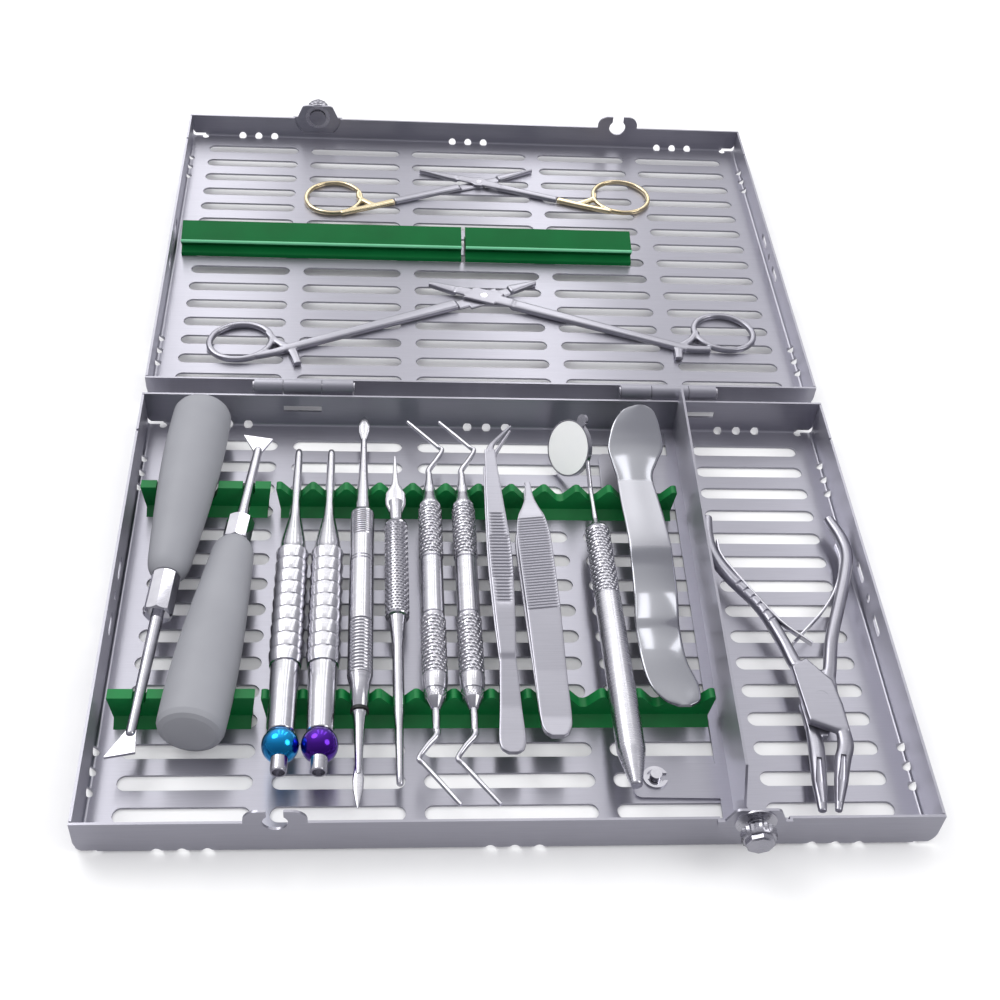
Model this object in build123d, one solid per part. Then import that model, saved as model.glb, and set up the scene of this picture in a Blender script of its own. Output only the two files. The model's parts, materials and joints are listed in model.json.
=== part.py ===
from build123d import *
import os
from math import cos, radians, sin, sqrt, tan

os.makedirs("parts", exist_ok=True)

# Hinged, perforated instrument cassette, lying open with its instruments in it.
# Millimetres. X runs across the trays, Y from the user towards the lid, Z up.
# The origin is below the hinge line at table level: base tray at -Y, lid at +Y.

# ------------------------------------------------------------ driving sizes
# Sheet-metal trays
LEFT_ZONE = 57.07          # tray's left side to the first rest of the long rails
RIGHT_ZONE = 68.61         # their last rest to the tray's right side
SHEET = 0.9
BASE_WALL = 17.0
LID_WALL = 12.0
BEND_RADIUS = 2.0          # outside of the floor's bends
CORNER_RADIUS = 7.0        # lower corners of the long walls
SEAM_GAP = 0.4             # slit between a short wall's end and a long wall
RELIEF_RADIUS = 1.6        # hole in each corner of the floor
RIM_NOTCH_WIDTH = 1.2
RIM_NOTCH_DEPTH = 1.0
RIM_NOTCH_INSET = 22.0

# Floor slots
SLOT_ROWS = 15
SLOT_PITCH = 12.4
SLOT_FIRST = 13.2          # long walls' outer faces to the first and last rows
SLOT_HEIGHT = 6.0
SLOT_MID_LENGTH = 58.0
SLOT_MARGIN = 9.8          # outer slots' ends to the short walls
SLOT_WEB = 6.2

# Drain holes
DRAIN_DIAMETER = 3.6
DRAIN_PITCH = 8.0
LONG_DRAIN_INSET = 33.5
SHORT_DRAIN_Y = 70.0
SIDE_SLOT_LENGTH = 10.0
SIDE_SLOT_HEIGHT = 3.0
SIDE_SLOT_OFFSET = 13.0

# Hinges
HINGE_REACH = 4.5          # hinge-side wall's outer face to the hinge line
RIM_GAP = 0.2              # each rim to the hinge line
KNUCKLE_DIAMETER = 6.0
HINGE_PIN_DIAMETER = 3.0
HINGE_CLEARANCE = 0.05     # radial, between pin and knuckle
HINGE_INSET = 64.0         # tray's side to the middle of the middle knuckle
KNUCKLE_MID = 15.4
KNUCKLE_INNER = 12.5
KNUCKLE_OUTER = 11.4
KNUCKLE_GAP = 0.3
PIN_HEAD_DIAMETER = 4.4
PIN_HEAD = 0.6
WINDOW_DROP = 5.5          # rim to the top edge of a hinge window
WINDOW_HEIGHT = 3.1

# Latches
LATCH_INSET = 63.5         # tray's side to the push-button
LATCH_GAP = 0.3            # hook plate to the lug in front of it
POCKET_RADIUS = 12.3
LUG_WIDTH = 20.0
LUG_TOP_WIDTH = 14.4
LUG_RISE = 6.5
LUG_CORNER = 2.4
HOOK_WIDTH = 20.2
HOOK_RISE = 6.3
HOOK_CORNER = 5.0
HOOK_MOUTH = 5.5
BOLT_DISC_DIAMETER = 8.0
BOLT_SHAFT_DIAMETER = 4.6
BOLT_CLEARANCE = 0.05      # radial, between shaft and bushing
SEAT_CLEARANCE = 0.1       # radial, between locking disc and hook
BUSHING_DIAMETER = 12.4
BUSHING_FLANGE_DIAMETER = 13.6
BUSHING_FLANGE = 0.6
BUSHING_RECESS = 0.3
BUTTON_GAP = 3.4           # lug to the knurled flange
BUTTON_TRAVEL = 2.0
BUTTON_DIAMETER = 11.6
BUTTON_LENGTH = 3.7
BUTTON_CAP_DIAMETER = 10.6
BUTTON_CAP = 2.0
BUTTON_SLOT = 1.6
SPRING_WIRE = 0.7
SPRING_TURNS = 2.5

# Silicone rails in the base and bars in the lid
RAIL_TOP = 13.0
RAIL_THICKNESS = 4.0
RAIL_FOOT_WIDTH = 12.2
RAIL_FOOT_HEIGHT = 2.3
RAIL_UNDERCUT = 1.5
PEG_OFFSET = 2.6           # rail's middle to the slot row that holds its pegs
PEG_WIDTH = 5.6
PEG_LENGTH = 12.0
REAR_PEG_ROW = 4
FRONT_PEG_ROW = 12
VALLEY_COUNT = 12
VALLEY_PITCH = 12.86
RAIL_END = 1.2             # last apex to the end of a long rail
VALLEY_RADIUS = 2.4
APEX_RADIUS = 1.5
FLANK_ANGLE = 50.0
RAIL_INSET = 4.5           # short rails and lid bars to the tray's left side
SHORT_RAIL_GAP = 3.27      # short rails to the long rails' first apex
REST_GAP = 0.3             # instrument to the silicone or tray that carries it
FLAT_GAP = 0.05            # flat underside to the sheet that carries it
BAR_Y = 110.4
BAR_HEIGHT = 9.1
BAR_FLANGE_WIDTH = 13.4
BAR_WEB_WIDTH = 7.0
BAR_FOOT_WIDTH = 17.0
BAR_JOINT_X = -6.0
BAR_JOINT_GAP = 1.9
BAR_END_INSET = 67.0

# Divider between the two compartments of the base
DIVIDER_INSET = 63.0
DIVIDER_SKEW = 1.4         # degrees
DIVIDER_TOP = 24.8
DIVIDER_END_GAP = 0.4
DIVIDER_SLOPE = 14.0       # length of the cut-down front corner
DIVIDER_SLOPE_END = 9.0
DIVIDER_FOOT = 4.0
PAD_REACH = 33.0
FRONT_PAD_Y = -180.3
PAD_DEPTH = 14.0
REAR_PAD_Y = -33.0
REAR_PAD_DEPTH = 22.0
STUD_OFFSET = 27.6         # divider to the stud
STUD_DIAMETER = 4.0
STUD_ROW = 14
STUD_HEIGHT = 4.6
CLIP_DIAMETER = 8.5
CLIP_THICKNESS = 0.8
CLIP_GAP = 0.05

# Instruments
HANDLE_DIAMETER = 22.8     # elevator handles
HANDLE_LENGTH = 86.5
BALL_GAP = 0.46            # between the balls of two neighbours
SCREW_CLEARANCE = 0.05     # radial, in every box joint
BOX_GAP = 0.1              # between the two halves of a box joint

# ---------------------------------------------------------- derived places
TRAY_WIDTH = LEFT_ZONE + VALLEY_COUNT * VALLEY_PITCH + RIGHT_ZONE
TRAY_DEPTH = 2 * SLOT_FIRST + (SLOT_ROWS - 1) * SLOT_PITCH
HALF_WIDTH = TRAY_WIDTH / 2
SLOT_SIDE_LENGTH = (TRAY_WIDTH - 2 * SLOT_MARGIN - SLOT_MID_LENGTH - 4 * SLOT_WEB) / 4
LONG_DRAIN_X = HALF_WIDTH - LONG_DRAIN_INSET
HINGE_X = HALF_WIDTH - HINGE_INSET
LATCH_X = HALF_WIDTH - LATCH_INSET
VALLEY_FIRST_X = -HALF_WIDTH + LEFT_ZONE + VALLEY_PITCH / 2
SHORT_RAIL_X = -HALF_WIDTH + RAIL_INSET
SHORT_RAIL_END_X = -HALF_WIDTH + LEFT_ZONE - SHORT_RAIL_GAP
BAR_END_X = HALF_WIDTH - BAR_END_INSET
DIVIDER_X = HALF_WIDTH - DIVIDER_INSET
STUD_X = DIVIDER_X - STUD_OFFSET
BALL_DIAMETER = VALLEY_PITCH - BALL_GAP
HINGE_Z = BASE_WALL + RIM_GAP
WALL_REAR_Y = -HINGE_REACH
WALL_FRONT_Y = WALL_REAR_Y - TRAY_DEPTH
MIDDLE_Y = (WALL_REAR_Y + WALL_FRONT_Y) / 2
LID_FLOOR_Z = BASE_WALL - LID_WALL
LID_TOP_Z = LID_FLOOR_Z + SHEET
JOG = SHEET + LATCH_GAP
LUG_FACE_Y = WALL_FRONT_Y - JOG
FLANK = radians(FLANK_ANGLE)
VALLEY_POINT = RAIL_TOP + APEX_RADIUS * (1 / cos(FLANK) - 1) - VALLEY_PITCH / 2 * tan(FLANK)
VALLEY_BOTTOM = VALLEY_POINT + VALLEY_RADIUS * (1 / cos(FLANK) - 1)


def slot_row_y(row):
    """Middle of a slot row, counted from 1 at the hinge side."""
    return WALL_REAR_Y - SLOT_FIRST - SLOT_PITCH * (row - 1)


REAR_RAIL_Y = slot_row_y(REAR_PEG_ROW) + PEG_OFFSET
FRONT_RAIL_Y = slot_row_y(FRONT_PEG_ROW) + PEG_OFFSET


# ------------------------------------------------------------ shape helpers
def polygon(points):
    return make_face(Polyline(*points, close=True))


def rounded(face, corners, radius):
    """Round the corners of a flat outline that lie nearest to the given points."""
    picked = [face.vertices().sort_by_distance(corner)[0] for corner in corners]
    return fillet(picked, radius)


def wall_plate(outline, y_low, y_high):
    """An X-Z outline made a plate between two Y values."""
    return extrude(Plane.XZ.offset(-y_high) * outline, y_high - y_low)


def side_plate(outline, x_low, x_high):
    """A Y-Z outline made a bar between two X values."""
    return extrude(Plane.YZ.offset(x_low) * outline, x_high - x_low)


def floor_plate(outline, z_low, z_high):
    """An X-Y outline made a plate between two Z values."""
    return extrude(Plane.XY.offset(z_low) * outline, z_high - z_low)


def block(x, y, z):
    """A box from its low and high value on each axis."""
    corner = Pos(x[0], y[0], z[0])
    return corner * Box(x[1] - x[0], y[1] - y[0], z[1] - z[0], align=(Align.MIN, Align.MIN, Align.MIN))


def limb(points, radii):
    """A tapering round limb through the points, with a ball at each bend."""
    solid = Pos(*points[0]) * Sphere(radii[0])
    for (start, stop), (r_start, r_stop) in zip(zip(points, points[1:]), zip(radii, radii[1:])):
        run = Vector(*stop) - Vector(*start)
        bottom = (Align.CENTER, Align.CENTER, Align.MIN)
        if abs(r_start - r_stop) < 1e-6:
            piece = Cylinder(r_start, run.length, align=bottom)
        else:
            piece = Cone(r_start, r_stop, run.length, align=bottom)
        solid += Plane(origin=start, z_dir=run) * piece
        solid += Pos(*stop) * Sphere(r_stop)
    return solid


def lofted(points, radii):
    """A smooth tapering round bar through the points."""
    path = Spline(*points)
    sections = []
    for point, radius in zip(points, radii):
        along = path % path.param_at_point(point)
        sections.append(Plane(origin=point, z_dir=along) * Circle(radius))
    return loft(sections)


def save(shape, node):
    shape.label = node
    export_step(shape, f"parts/{node}.step")


# --------------------------------------------------------------------- trays
COLUMN_SIDE_X = SLOT_MID_LENGTH / 2 + SLOT_WEB + SLOT_SIDE_LENGTH / 2
COLUMN_OUTER_X = COLUMN_SIDE_X + SLOT_SIDE_LENGTH + SLOT_WEB


def u_section(width, wall):
    """Floor and two walls of bent sheet, seen along the bends."""
    half = width / 2
    face = polygon([
        (-half, wall), (-half, 0), (half, 0), (half, wall),
        (half - SHEET, wall), (half - SHEET, SHEET), (-half + SHEET, SHEET), (-half + SHEET, wall),
    ])
    face = rounded(face, [(-half, 0), (half, 0)], BEND_RADIUS)
    inner = [(-half + SHEET, SHEET), (half - SHEET, SHEET)]
    return rounded(face, inner, BEND_RADIUS - SHEET)


def floor_slots():
    slots = Sketch()
    for row in range(1, SLOT_ROWS + 1):
        y = slot_row_y(row)
        slots += Pos(0, y) * SlotOverall(SLOT_MID_LENGTH, SLOT_HEIGHT)
        for x in (-COLUMN_OUTER_X, -COLUMN_SIDE_X, COLUMN_SIDE_X, COLUMN_OUTER_X):
            slots += Pos(x, y) * SlotOverall(SLOT_SIDE_LENGTH, SLOT_HEIGHT)
    return floor_plate(slots, -1, SHEET + 1)


def drain_holes(wall):
    """Groups of three holes through the bends, and slots in the short walls."""
    bottom = (Align.CENTER, Align.CENTER, Align.MIN)
    drill = Cylinder(DRAIN_DIAMETER / 2, 3 * BEND_RADIUS, align=bottom)
    holes = []
    for step in (-DRAIN_PITCH, 0, DRAIN_PITCH):
        for x in (-LONG_DRAIN_X, 0, LONG_DRAIN_X):
            front = Pos(x + step, WALL_FRONT_Y + BEND_RADIUS, BEND_RADIUS)
            rear = Pos(x + step, WALL_REAR_Y - BEND_RADIUS, BEND_RADIUS)
            holes += [front * Rot(135, 0, 0) * drill, rear * Rot(-135, 0, 0) * drill]
        for y in (MIDDLE_Y - SHORT_DRAIN_Y, MIDDLE_Y + SHORT_DRAIN_Y):
            left = Pos(-HALF_WIDTH + BEND_RADIUS, y + step, BEND_RADIUS)
            right = Pos(HALF_WIDTH - BEND_RADIUS, y + step, BEND_RADIUS)
            holes += [left * Rot(0, -135, 0) * drill, right * Rot(0, 135, 0) * drill]
    side = Pos(MIDDLE_Y, wall / 2) * Circle(DRAIN_DIAMETER / 2)
    for offset in (-SIDE_SLOT_OFFSET, SIDE_SLOT_OFFSET):
        side += Pos(MIDDLE_Y + offset, wall / 2) * SlotOverall(SIDE_SLOT_LENGTH, SIDE_SLOT_HEIGHT)
    holes.append(side_plate(side, -HALF_WIDTH - 1, HALF_WIDTH + 1))
    for x in (-HALF_WIDTH + CORNER_RADIUS, HALF_WIDTH - CORNER_RADIUS):
        for y in (WALL_FRONT_Y + BEND_RADIUS, WALL_REAR_Y - BEND_RADIUS):
            holes.append(Pos(x, y, SHEET / 2) * Cylinder(RELIEF_RADIUS, 3 * SHEET))
    return holes


def knuckle_spans():
    """X ranges of one tray's knuckles; the other tray's are the same, mirrored."""
    half = KNUCKLE_MID / 2
    inner_edge = HINGE_X - half - KNUCKLE_GAP
    outer_edge = HINGE_X + half + KNUCKLE_GAP
    return [
        (-outer_edge - KNUCKLE_OUTER, -outer_edge),
        (-inner_edge, -inner_edge + KNUCKLE_INNER),
        (HINGE_X - half, HINGE_X + half),
    ]


def knuckles(axis_z):
    """Curled hinge knuckles and the webs that join them to the wall."""
    radius = KNUCKLE_DIAMETER / 2
    bore = HINGE_PIN_DIAMETER / 2 + HINGE_CLEARANCE
    solids = []
    for x_low, x_high in knuckle_spans():
        curl = Pos(0, axis_z) * Circle(radius)
        web_middle = (-HINGE_REACH / 2, axis_z - radius + SHEET / 2)
        curl += Pos(*web_middle) * Rectangle(HINGE_REACH, SHEET)
        curl -= Pos(0, axis_z) * Circle(bore)
        solids.append(side_plate(curl, x_low, x_high))
    return solids


def latch_pocket(tray_shape, wall, axis_z):
    """Jog the wall out round the push-button, with a lug that stands above the rim."""
    def half_round(radius, floor_z):
        low = Pos(LATCH_X, (floor_z + wall) / 2) * Rectangle(4 * radius, wall - floor_z)
        return (Pos(LATCH_X, axis_z) * Circle(radius)) & low

    floor_z = BEND_RADIUS + SHEET
    cup = wall_plate(half_round(POCKET_RADIUS, floor_z), LUG_FACE_Y, WALL_FRONT_Y + SHEET)
    hollow = half_round(POCKET_RADIUS - SHEET, floor_z + SHEET)
    lug = polygon([
        (LATCH_X - LUG_WIDTH / 2, wall - SHEET), (LATCH_X + LUG_WIDTH / 2, wall - SHEET),
        (LATCH_X + LUG_WIDTH / 2, wall), (LATCH_X + LUG_TOP_WIDTH / 2, wall + LUG_RISE),
        (LATCH_X - LUG_TOP_WIDTH / 2, wall + LUG_RISE), (LATCH_X - LUG_WIDTH / 2, wall),
    ])
    top = wall + LUG_RISE
    lug = rounded(lug, [(LATCH_X - LUG_TOP_WIDTH / 2, top), (LATCH_X + LUG_TOP_WIDTH / 2, top)], LUG_CORNER)
    shape = tray_shape + cup + wall_plate(lug, LUG_FACE_Y, LUG_FACE_Y + SHEET)
    shape -= wall_plate(hollow, LUG_FACE_Y + SHEET, WALL_FRONT_Y + 2 * SHEET)
    bore = Pos(LATCH_X, axis_z) * Circle(BUSHING_DIAMETER / 2)
    return shape - wall_plate(bore, LUG_FACE_Y - 1, LUG_FACE_Y + SHEET)


def latch_hook(wall, axis_z):
    """Fork in the wall's plane that drops over the push-button's locking disc."""
    top = wall + HOOK_RISE
    low = wall - BOLT_DISC_DIAMETER
    plate = polygon([
        (-LATCH_X - HOOK_WIDTH / 2, low), (-LATCH_X + HOOK_WIDTH / 2, low),
        (-LATCH_X + HOOK_WIDTH / 2, top), (-LATCH_X - HOOK_WIDTH / 2, top),
    ])
    corners = [(-LATCH_X - HOOK_WIDTH / 2, top), (-LATCH_X + HOOK_WIDTH / 2, top)]
    plate = rounded(plate, corners, HOOK_CORNER)
    mouth = Pos(-LATCH_X, axis_z + HOOK_RISE) * Rectangle(HOOK_MOUTH, 2 * HOOK_RISE)
    mouth += Pos(-LATCH_X, axis_z) * Circle(BOLT_DISC_DIAMETER / 2 + SEAT_CLEARANCE)
    hook = wall_plate(plate, WALL_FRONT_Y, WALL_FRONT_Y + SHEET)
    cutter = wall_plate(mouth, WALL_FRONT_Y - 1, WALL_FRONT_Y + SHEET + 1)
    return hook, cutter


def tray(wall, notch_y):
    """One tray with its hinge side towards +Y and its floor's underside at Z 0."""
    axis_z = wall + RIM_GAP
    inset = SHEET + SEAM_GAP
    short_walls = wall_plate(u_section(TRAY_WIDTH, wall), WALL_FRONT_Y + inset, WALL_REAR_Y - inset)
    bend_half = HALF_WIDTH - CORNER_RADIUS
    long_bends = side_plate(Pos(MIDDLE_Y, 0) * u_section(TRAY_DEPTH, wall), -bend_half, bend_half)
    face = polygon([(-HALF_WIDTH, 0), (HALF_WIDTH, 0), (HALF_WIDTH, wall), (-HALF_WIDTH, wall)])
    face = rounded(face, [(-HALF_WIDTH, 0), (HALF_WIDTH, 0)], CORNER_RADIUS)
    face &= Pos(0, BEND_RADIUS + wall / 2) * Rectangle(TRAY_WIDTH, wall)
    shape = short_walls + long_bends
    shape += wall_plate(face, WALL_FRONT_Y, WALL_FRONT_Y + SHEET)
    shape += wall_plate(face, WALL_REAR_Y - SHEET, WALL_REAR_Y)
    shape += knuckles(axis_z)
    shape = latch_pocket(shape, wall, axis_z)
    hook, mouth = latch_hook(wall, axis_z)
    shape = shape + hook - mouth
    windows = Sketch()
    for x_low, x_high in knuckle_spans():
        middle = Pos(-(x_low + x_high) / 2, wall - WINDOW_DROP - WINDOW_HEIGHT / 2)
        windows += middle * Rectangle(x_high - x_low, WINDOW_HEIGHT)
    shape -= wall_plate(windows, WALL_REAR_Y - SHEET - 1, WALL_REAR_Y + 1)
    notch = Pos(notch_y, wall) * Rectangle(RIM_NOTCH_WIDTH, 2 * RIM_NOTCH_DEPTH)
    shape -= side_plate(notch, -HALF_WIDTH - 1, HALF_WIDTH + 1)
    shape -= floor_slots()
    shape -= drain_holes(wall)
    return shape


def to_lid(shape):
    """Turn a piece made for the base round into its place on the open lid."""
    return Pos(0, 0, LID_FLOOR_Z) * Rot(0, 0, 180) * shape


save(tray(BASE_WALL, WALL_REAR_Y - RIM_NOTCH_INSET), "base_tray")
save(to_lid(tray(LID_WALL, WALL_FRONT_Y + RIM_NOTCH_INSET)), "lid_tray")


# -------------------------------------------------------------------- hinges
def hinge_pin():
    """Peened pin through the three knuckles of the right hinge."""
    reach = KNUCKLE_MID / 2 + KNUCKLE_GAP
    x_low = HINGE_X - reach - KNUCKLE_INNER - KNUCKLE_GAP / 2
    x_high = HINGE_X + reach + KNUCKLE_OUTER + KNUCKLE_GAP / 2
    shank = Pos(0, HINGE_Z) * Circle(HINGE_PIN_DIAMETER / 2)
    head = Pos(0, HINGE_Z) * Circle(PIN_HEAD_DIAMETER / 2)
    pin = side_plate(shank, x_low, x_high)
    pin += side_plate(head, x_low - PIN_HEAD, x_low)
    pin += side_plate(head, x_high, x_high + PIN_HEAD)
    return pin


save(hinge_pin(), "hinge_pin_right")
save(mirror(hinge_pin(), about=Plane.YZ), "hinge_pin_left")


# ------------------------------------------------------------------- latches
FLANGE_Y = LUG_FACE_Y - BUTTON_GAP
SHAFT_RADIUS = BOLT_SHAFT_DIAMETER / 2


def latch_disc(diameter, y_low, y_high):
    return wall_plate(Pos(LATCH_X, HINGE_Z) * Circle(diameter / 2), y_low, y_high)


def latch_button():
    """Locking disc, shaft, knurled flange and slotted cap of the push-button."""
    outer_y = FLANGE_Y - BUTTON_LENGTH
    shape = latch_disc(BOLT_DISC_DIAMETER, WALL_FRONT_Y, WALL_FRONT_Y + SHEET)
    shape += latch_disc(BOLT_SHAFT_DIAMETER, outer_y, WALL_FRONT_Y)
    shape += latch_disc(BUTTON_DIAMETER, outer_y, FLANGE_Y)
    cap = latch_disc(BUTTON_CAP_DIAMETER, outer_y - BUTTON_CAP, outer_y)
    slot = Pos(LATCH_X, HINGE_Z) * Rectangle(BUTTON_SLOT, 2 * BUTTON_CAP_DIAMETER)
    return shape + (cap - wall_plate(slot, outer_y - 2 * BUTTON_CAP, outer_y - BUTTON_CAP / 2))


def latch_bushing():
    """Flanged ring pressed into the lug, in which the push-button's shaft slides."""
    inner_y = LUG_FACE_Y + SHEET
    shape = latch_disc(BUSHING_DIAMETER, LUG_FACE_Y, inner_y)
    shape += latch_disc(BUSHING_FLANGE_DIAMETER, LUG_FACE_Y - BUSHING_FLANGE, LUG_FACE_Y)
    shape -= latch_disc(BOLT_DISC_DIAMETER + BUSHING_FLANGE, inner_y - BUSHING_RECESS, inner_y + 1)
    bore = BOLT_SHAFT_DIAMETER + 2 * BOLT_CLEARANCE
    return shape - latch_disc(bore, LUG_FACE_Y - 2 * BUSHING_FLANGE, inner_y + 1)


def latch_spring():
    """Coil between the bushing and the knurled flange."""
    room = BUTTON_GAP - BUSHING_FLANGE
    rise = room - SPRING_WIRE - 2 * FLAT_GAP
    coil_radius = SHAFT_RADIUS + SPRING_WIRE / 2 + 4 * BOLT_CLEARANCE
    path = Helix(rise / SPRING_TURNS, rise, coil_radius)
    wire = sweep(Plane(origin=path @ 0, z_dir=path % 0) * Circle(SPRING_WIRE / 2), path, is_frenet=True)
    start_y = LUG_FACE_Y - BUSHING_FLANGE - FLAT_GAP - SPRING_WIRE / 2
    return Plane(origin=(LATCH_X, start_y, HINGE_Z), z_dir=(0, -1, 0)) * wire


HALF_TURN = Rot(0, 0, 180)
save(latch_button(), "base_button")
save(latch_bushing(), "base_bushing")
save(latch_spring(), "base_button_spring")
save(HALF_TURN * latch_button(), "lid_button")
save(HALF_TURN * latch_bushing(), "lid_bushing")
save(HALF_TURN * latch_spring(), "lid_button_spring")


# ---------------------------------------------------- where instruments lie
def rest_height(radius):
    """Axis height of a round bar of this radius lying in a rail's valley."""
    on_flanks = VALLEY_POINT + (radius + REST_GAP) / cos(FLANK)
    on_bottom = VALLEY_BOTTOM + radius + REST_GAP
    return max(on_flanks, on_bottom)


def valley_x(number):
    """Middle of a valley, counted from 0 at the left."""
    return VALLEY_FIRST_X + VALLEY_PITCH * number


def axis_at(rear, front, y):
    """Point at Y on the line through (X, Z) at the rear rail and (X, Z) at the front rail."""
    share = (y - REAR_RAIL_Y) / (FRONT_RAIL_Y - REAR_RAIL_Y)
    return Vector(rear[0] + share * (front[0] - rear[0]), y, rear[1] + share * (front[1] - rear[1]))


def axis_plane(rear, front, start_y, stop_y):
    """Work plane across an instrument's axis, and how much longer the axis is than its Y span."""
    start = axis_at(rear, front, start_y)
    run = axis_at(rear, front, stop_y) - start
    return Plane(origin=start, x_dir=(1, 0, 0), z_dir=run), run.length / abs(stop_y - start_y)


def turned(rear, front, stations):
    """A round piece on an instrument's axis, turned to (Y, radius) stations."""
    first_y, last_y = stations[0][0], stations[-1][0]
    plane, stretch = axis_plane(rear, front, first_y, last_y)
    profile = [(radius, abs(first_y - y) * stretch) for y, radius in stations]
    outline = [(0, 0)] + profile + [(0, profile[-1][1])]
    return plane * revolve(Plane.XZ * polygon(outline), Axis.Z)


def grooved(start_y, stop_y, radius, count, depth):
    """Stations of a grip with evenly spaced grooves from start to stop."""
    pitch = (stop_y - start_y) / count
    stations = []
    for groove in range(count):
        y = start_y + pitch * groove
        stations += [(y, radius - depth), (y + 0.12 * pitch, radius), (y + 0.92 * pitch, radius)]
    return stations + [(stop_y, radius - depth)]


# The big handles lie in round notches of the short rails, their slim shanks in narrow ones.
HANDLE_RADIUS = HANDLE_DIAMETER / 2
ELEVATOR_SHANK = 2.1
LEFT_REAR = (-HALF_WIDTH + 22.1, 13.6)
LEFT_FRONT = (-HALF_WIDTH + 15.3, 12.6)
RIGHT_REAR = (-HALF_WIDTH + 45.4, 11.6)
RIGHT_FRONT = (-HALF_WIDTH + 35.2, 13.6)


# --------------------------------------------------------- rails in the base
def long_rail_outline():
    apex_z = RAIL_TOP + APEX_RADIUS * (1 / cos(FLANK) - 1)
    first_apex = VALLEY_FIRST_X - VALLEY_PITCH / 2
    apexes = [(first_apex + VALLEY_PITCH * k, apex_z) for k in range(VALLEY_COUNT + 1)]
    valleys = [(valley_x(k), VALLEY_POINT) for k in range(VALLEY_COUNT)]
    x_low = apexes[0][0] - RAIL_END
    x_high = apexes[-1][0] + RAIL_END
    end_z = apex_z - RAIL_END * tan(FLANK)
    top = [point for pair in zip(apexes, valleys) for point in pair] + [apexes[-1]]
    outline = [(x_low + RAIL_UNDERCUT, SHEET), (x_low, end_z)] + top
    outline += [(x_high, end_z), (x_high - RAIL_UNDERCUT, SHEET)]
    face = rounded(polygon(outline), apexes, APEX_RADIUS)
    return rounded(face, valleys, VALLEY_RADIUS), x_low, x_high


def short_rail_outline(wide, narrow):
    """A flat-topped rail with a notch for a big handle and one for a slim shank."""
    x_low, x_high = SHORT_RAIL_X, SHORT_RAIL_END_X
    face = polygon([
        (x_low + RAIL_UNDERCUT, SHEET), (x_low, RAIL_TOP), (x_high, RAIL_TOP), (x_high - RAIL_UNDERCUT, SHEET),
    ])
    for (x, z), radius in ((wide, HANDLE_RADIUS), (narrow, ELEVATOR_SHANK)):
        face -= Pos(x, z) * Circle(radius + REST_GAP)
        face -= Pos(x, z + RAIL_TOP) * Rectangle(2 * (radius + REST_GAP), 2 * RAIL_TOP)
    return face, x_low, x_high


def rail(outline, x_low, x_high, y, row, peg_x):
    """Ribbed rail on a tapered foot, held by pegs in a row of floor slots."""
    half_foot = RAIL_FOOT_WIDTH / 2
    neck = RAIL_THICKNESS / 2
    shape = wall_plate(outline, y - neck, y + neck)
    foot = polygon([
        (y - half_foot, SHEET), (y + half_foot, SHEET),
        (y + neck, SHEET + RAIL_FOOT_HEIGHT), (y - neck, SHEET + RAIL_FOOT_HEIGHT),
    ])
    shape += side_plate(foot, x_low + RAIL_UNDERCUT, x_high - RAIL_UNDERCUT)
    peg_y = slot_row_y(row)
    for x in peg_x:
        ends = (x - PEG_LENGTH / 2, x + PEG_LENGTH / 2)
        shape += block(ends, (peg_y - PEG_WIDTH / 2, peg_y + PEG_WIDTH / 2), (0, SHEET))
    return shape


def short_rail(wide, narrow, rear, front, y, row):
    """Short rail, with the big handle's trough cut along the handle's own axis."""
    outline, x_low, x_high = short_rail_outline(wide, narrow)
    shape = rail(outline, x_low, x_high, y, row, [-COLUMN_OUTER_X])
    radius = HANDLE_RADIUS + REST_GAP
    return shape - turned(rear, front, [(y + RAIL_FOOT_WIDTH, radius), (y - RAIL_FOOT_WIDTH, radius)])


LONG_PEG_X = (-COLUMN_SIDE_X, 0, COLUMN_SIDE_X)
LONG_RAIL = long_rail_outline()
save(rail(*LONG_RAIL, REAR_RAIL_Y, REAR_PEG_ROW, LONG_PEG_X), "rail_rear_long")
save(rail(*LONG_RAIL, FRONT_RAIL_Y, FRONT_PEG_ROW, LONG_PEG_X), "rail_front_long")
REAR_SHORT = short_rail(LEFT_REAR, RIGHT_REAR, LEFT_REAR, LEFT_FRONT, REAR_RAIL_Y, REAR_PEG_ROW)
FRONT_SHORT = short_rail(RIGHT_FRONT, LEFT_FRONT, RIGHT_REAR, RIGHT_FRONT, FRONT_RAIL_Y, FRONT_PEG_ROW)
save(REAR_SHORT, "rail_rear_short")
save(FRONT_SHORT, "rail_front_short")


# ----------------------------------------------------------- bars in the lid
def lid_bar(x_low, x_high):
    """Hold-down bar: a broad flange on a narrower web and a foot."""
    bottom, top = LID_TOP_Z, LID_TOP_Z + BAR_HEIGHT
    half_flange, half_web, half_foot = BAR_FLANGE_WIDTH / 2, BAR_WEB_WIDTH / 2, BAR_FOOT_WIDTH / 2
    foot_z = bottom + BAR_HEIGHT / 4
    neck_z = bottom + BAR_HEIGHT * 0.62
    lip_z = bottom + BAR_HEIGHT * 0.8
    section = polygon([
        (BAR_Y - half_foot, bottom), (BAR_Y + half_foot, bottom), (BAR_Y + half_foot, foot_z),
        (BAR_Y + half_web, neck_z), (BAR_Y + half_flange, lip_z), (BAR_Y + half_flange, top),
        (BAR_Y - half_flange, top), (BAR_Y - half_flange, lip_z), (BAR_Y - half_web, neck_z),
        (BAR_Y - half_foot, foot_z),
    ])
    return side_plate(section, x_low, x_high)


save(lid_bar(SHORT_RAIL_X, BAR_JOINT_X - BAR_JOINT_GAP / 2), "lid_bar_left")
save(lid_bar(BAR_JOINT_X + BAR_JOINT_GAP / 2, BAR_END_X), "lid_bar_right")


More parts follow.
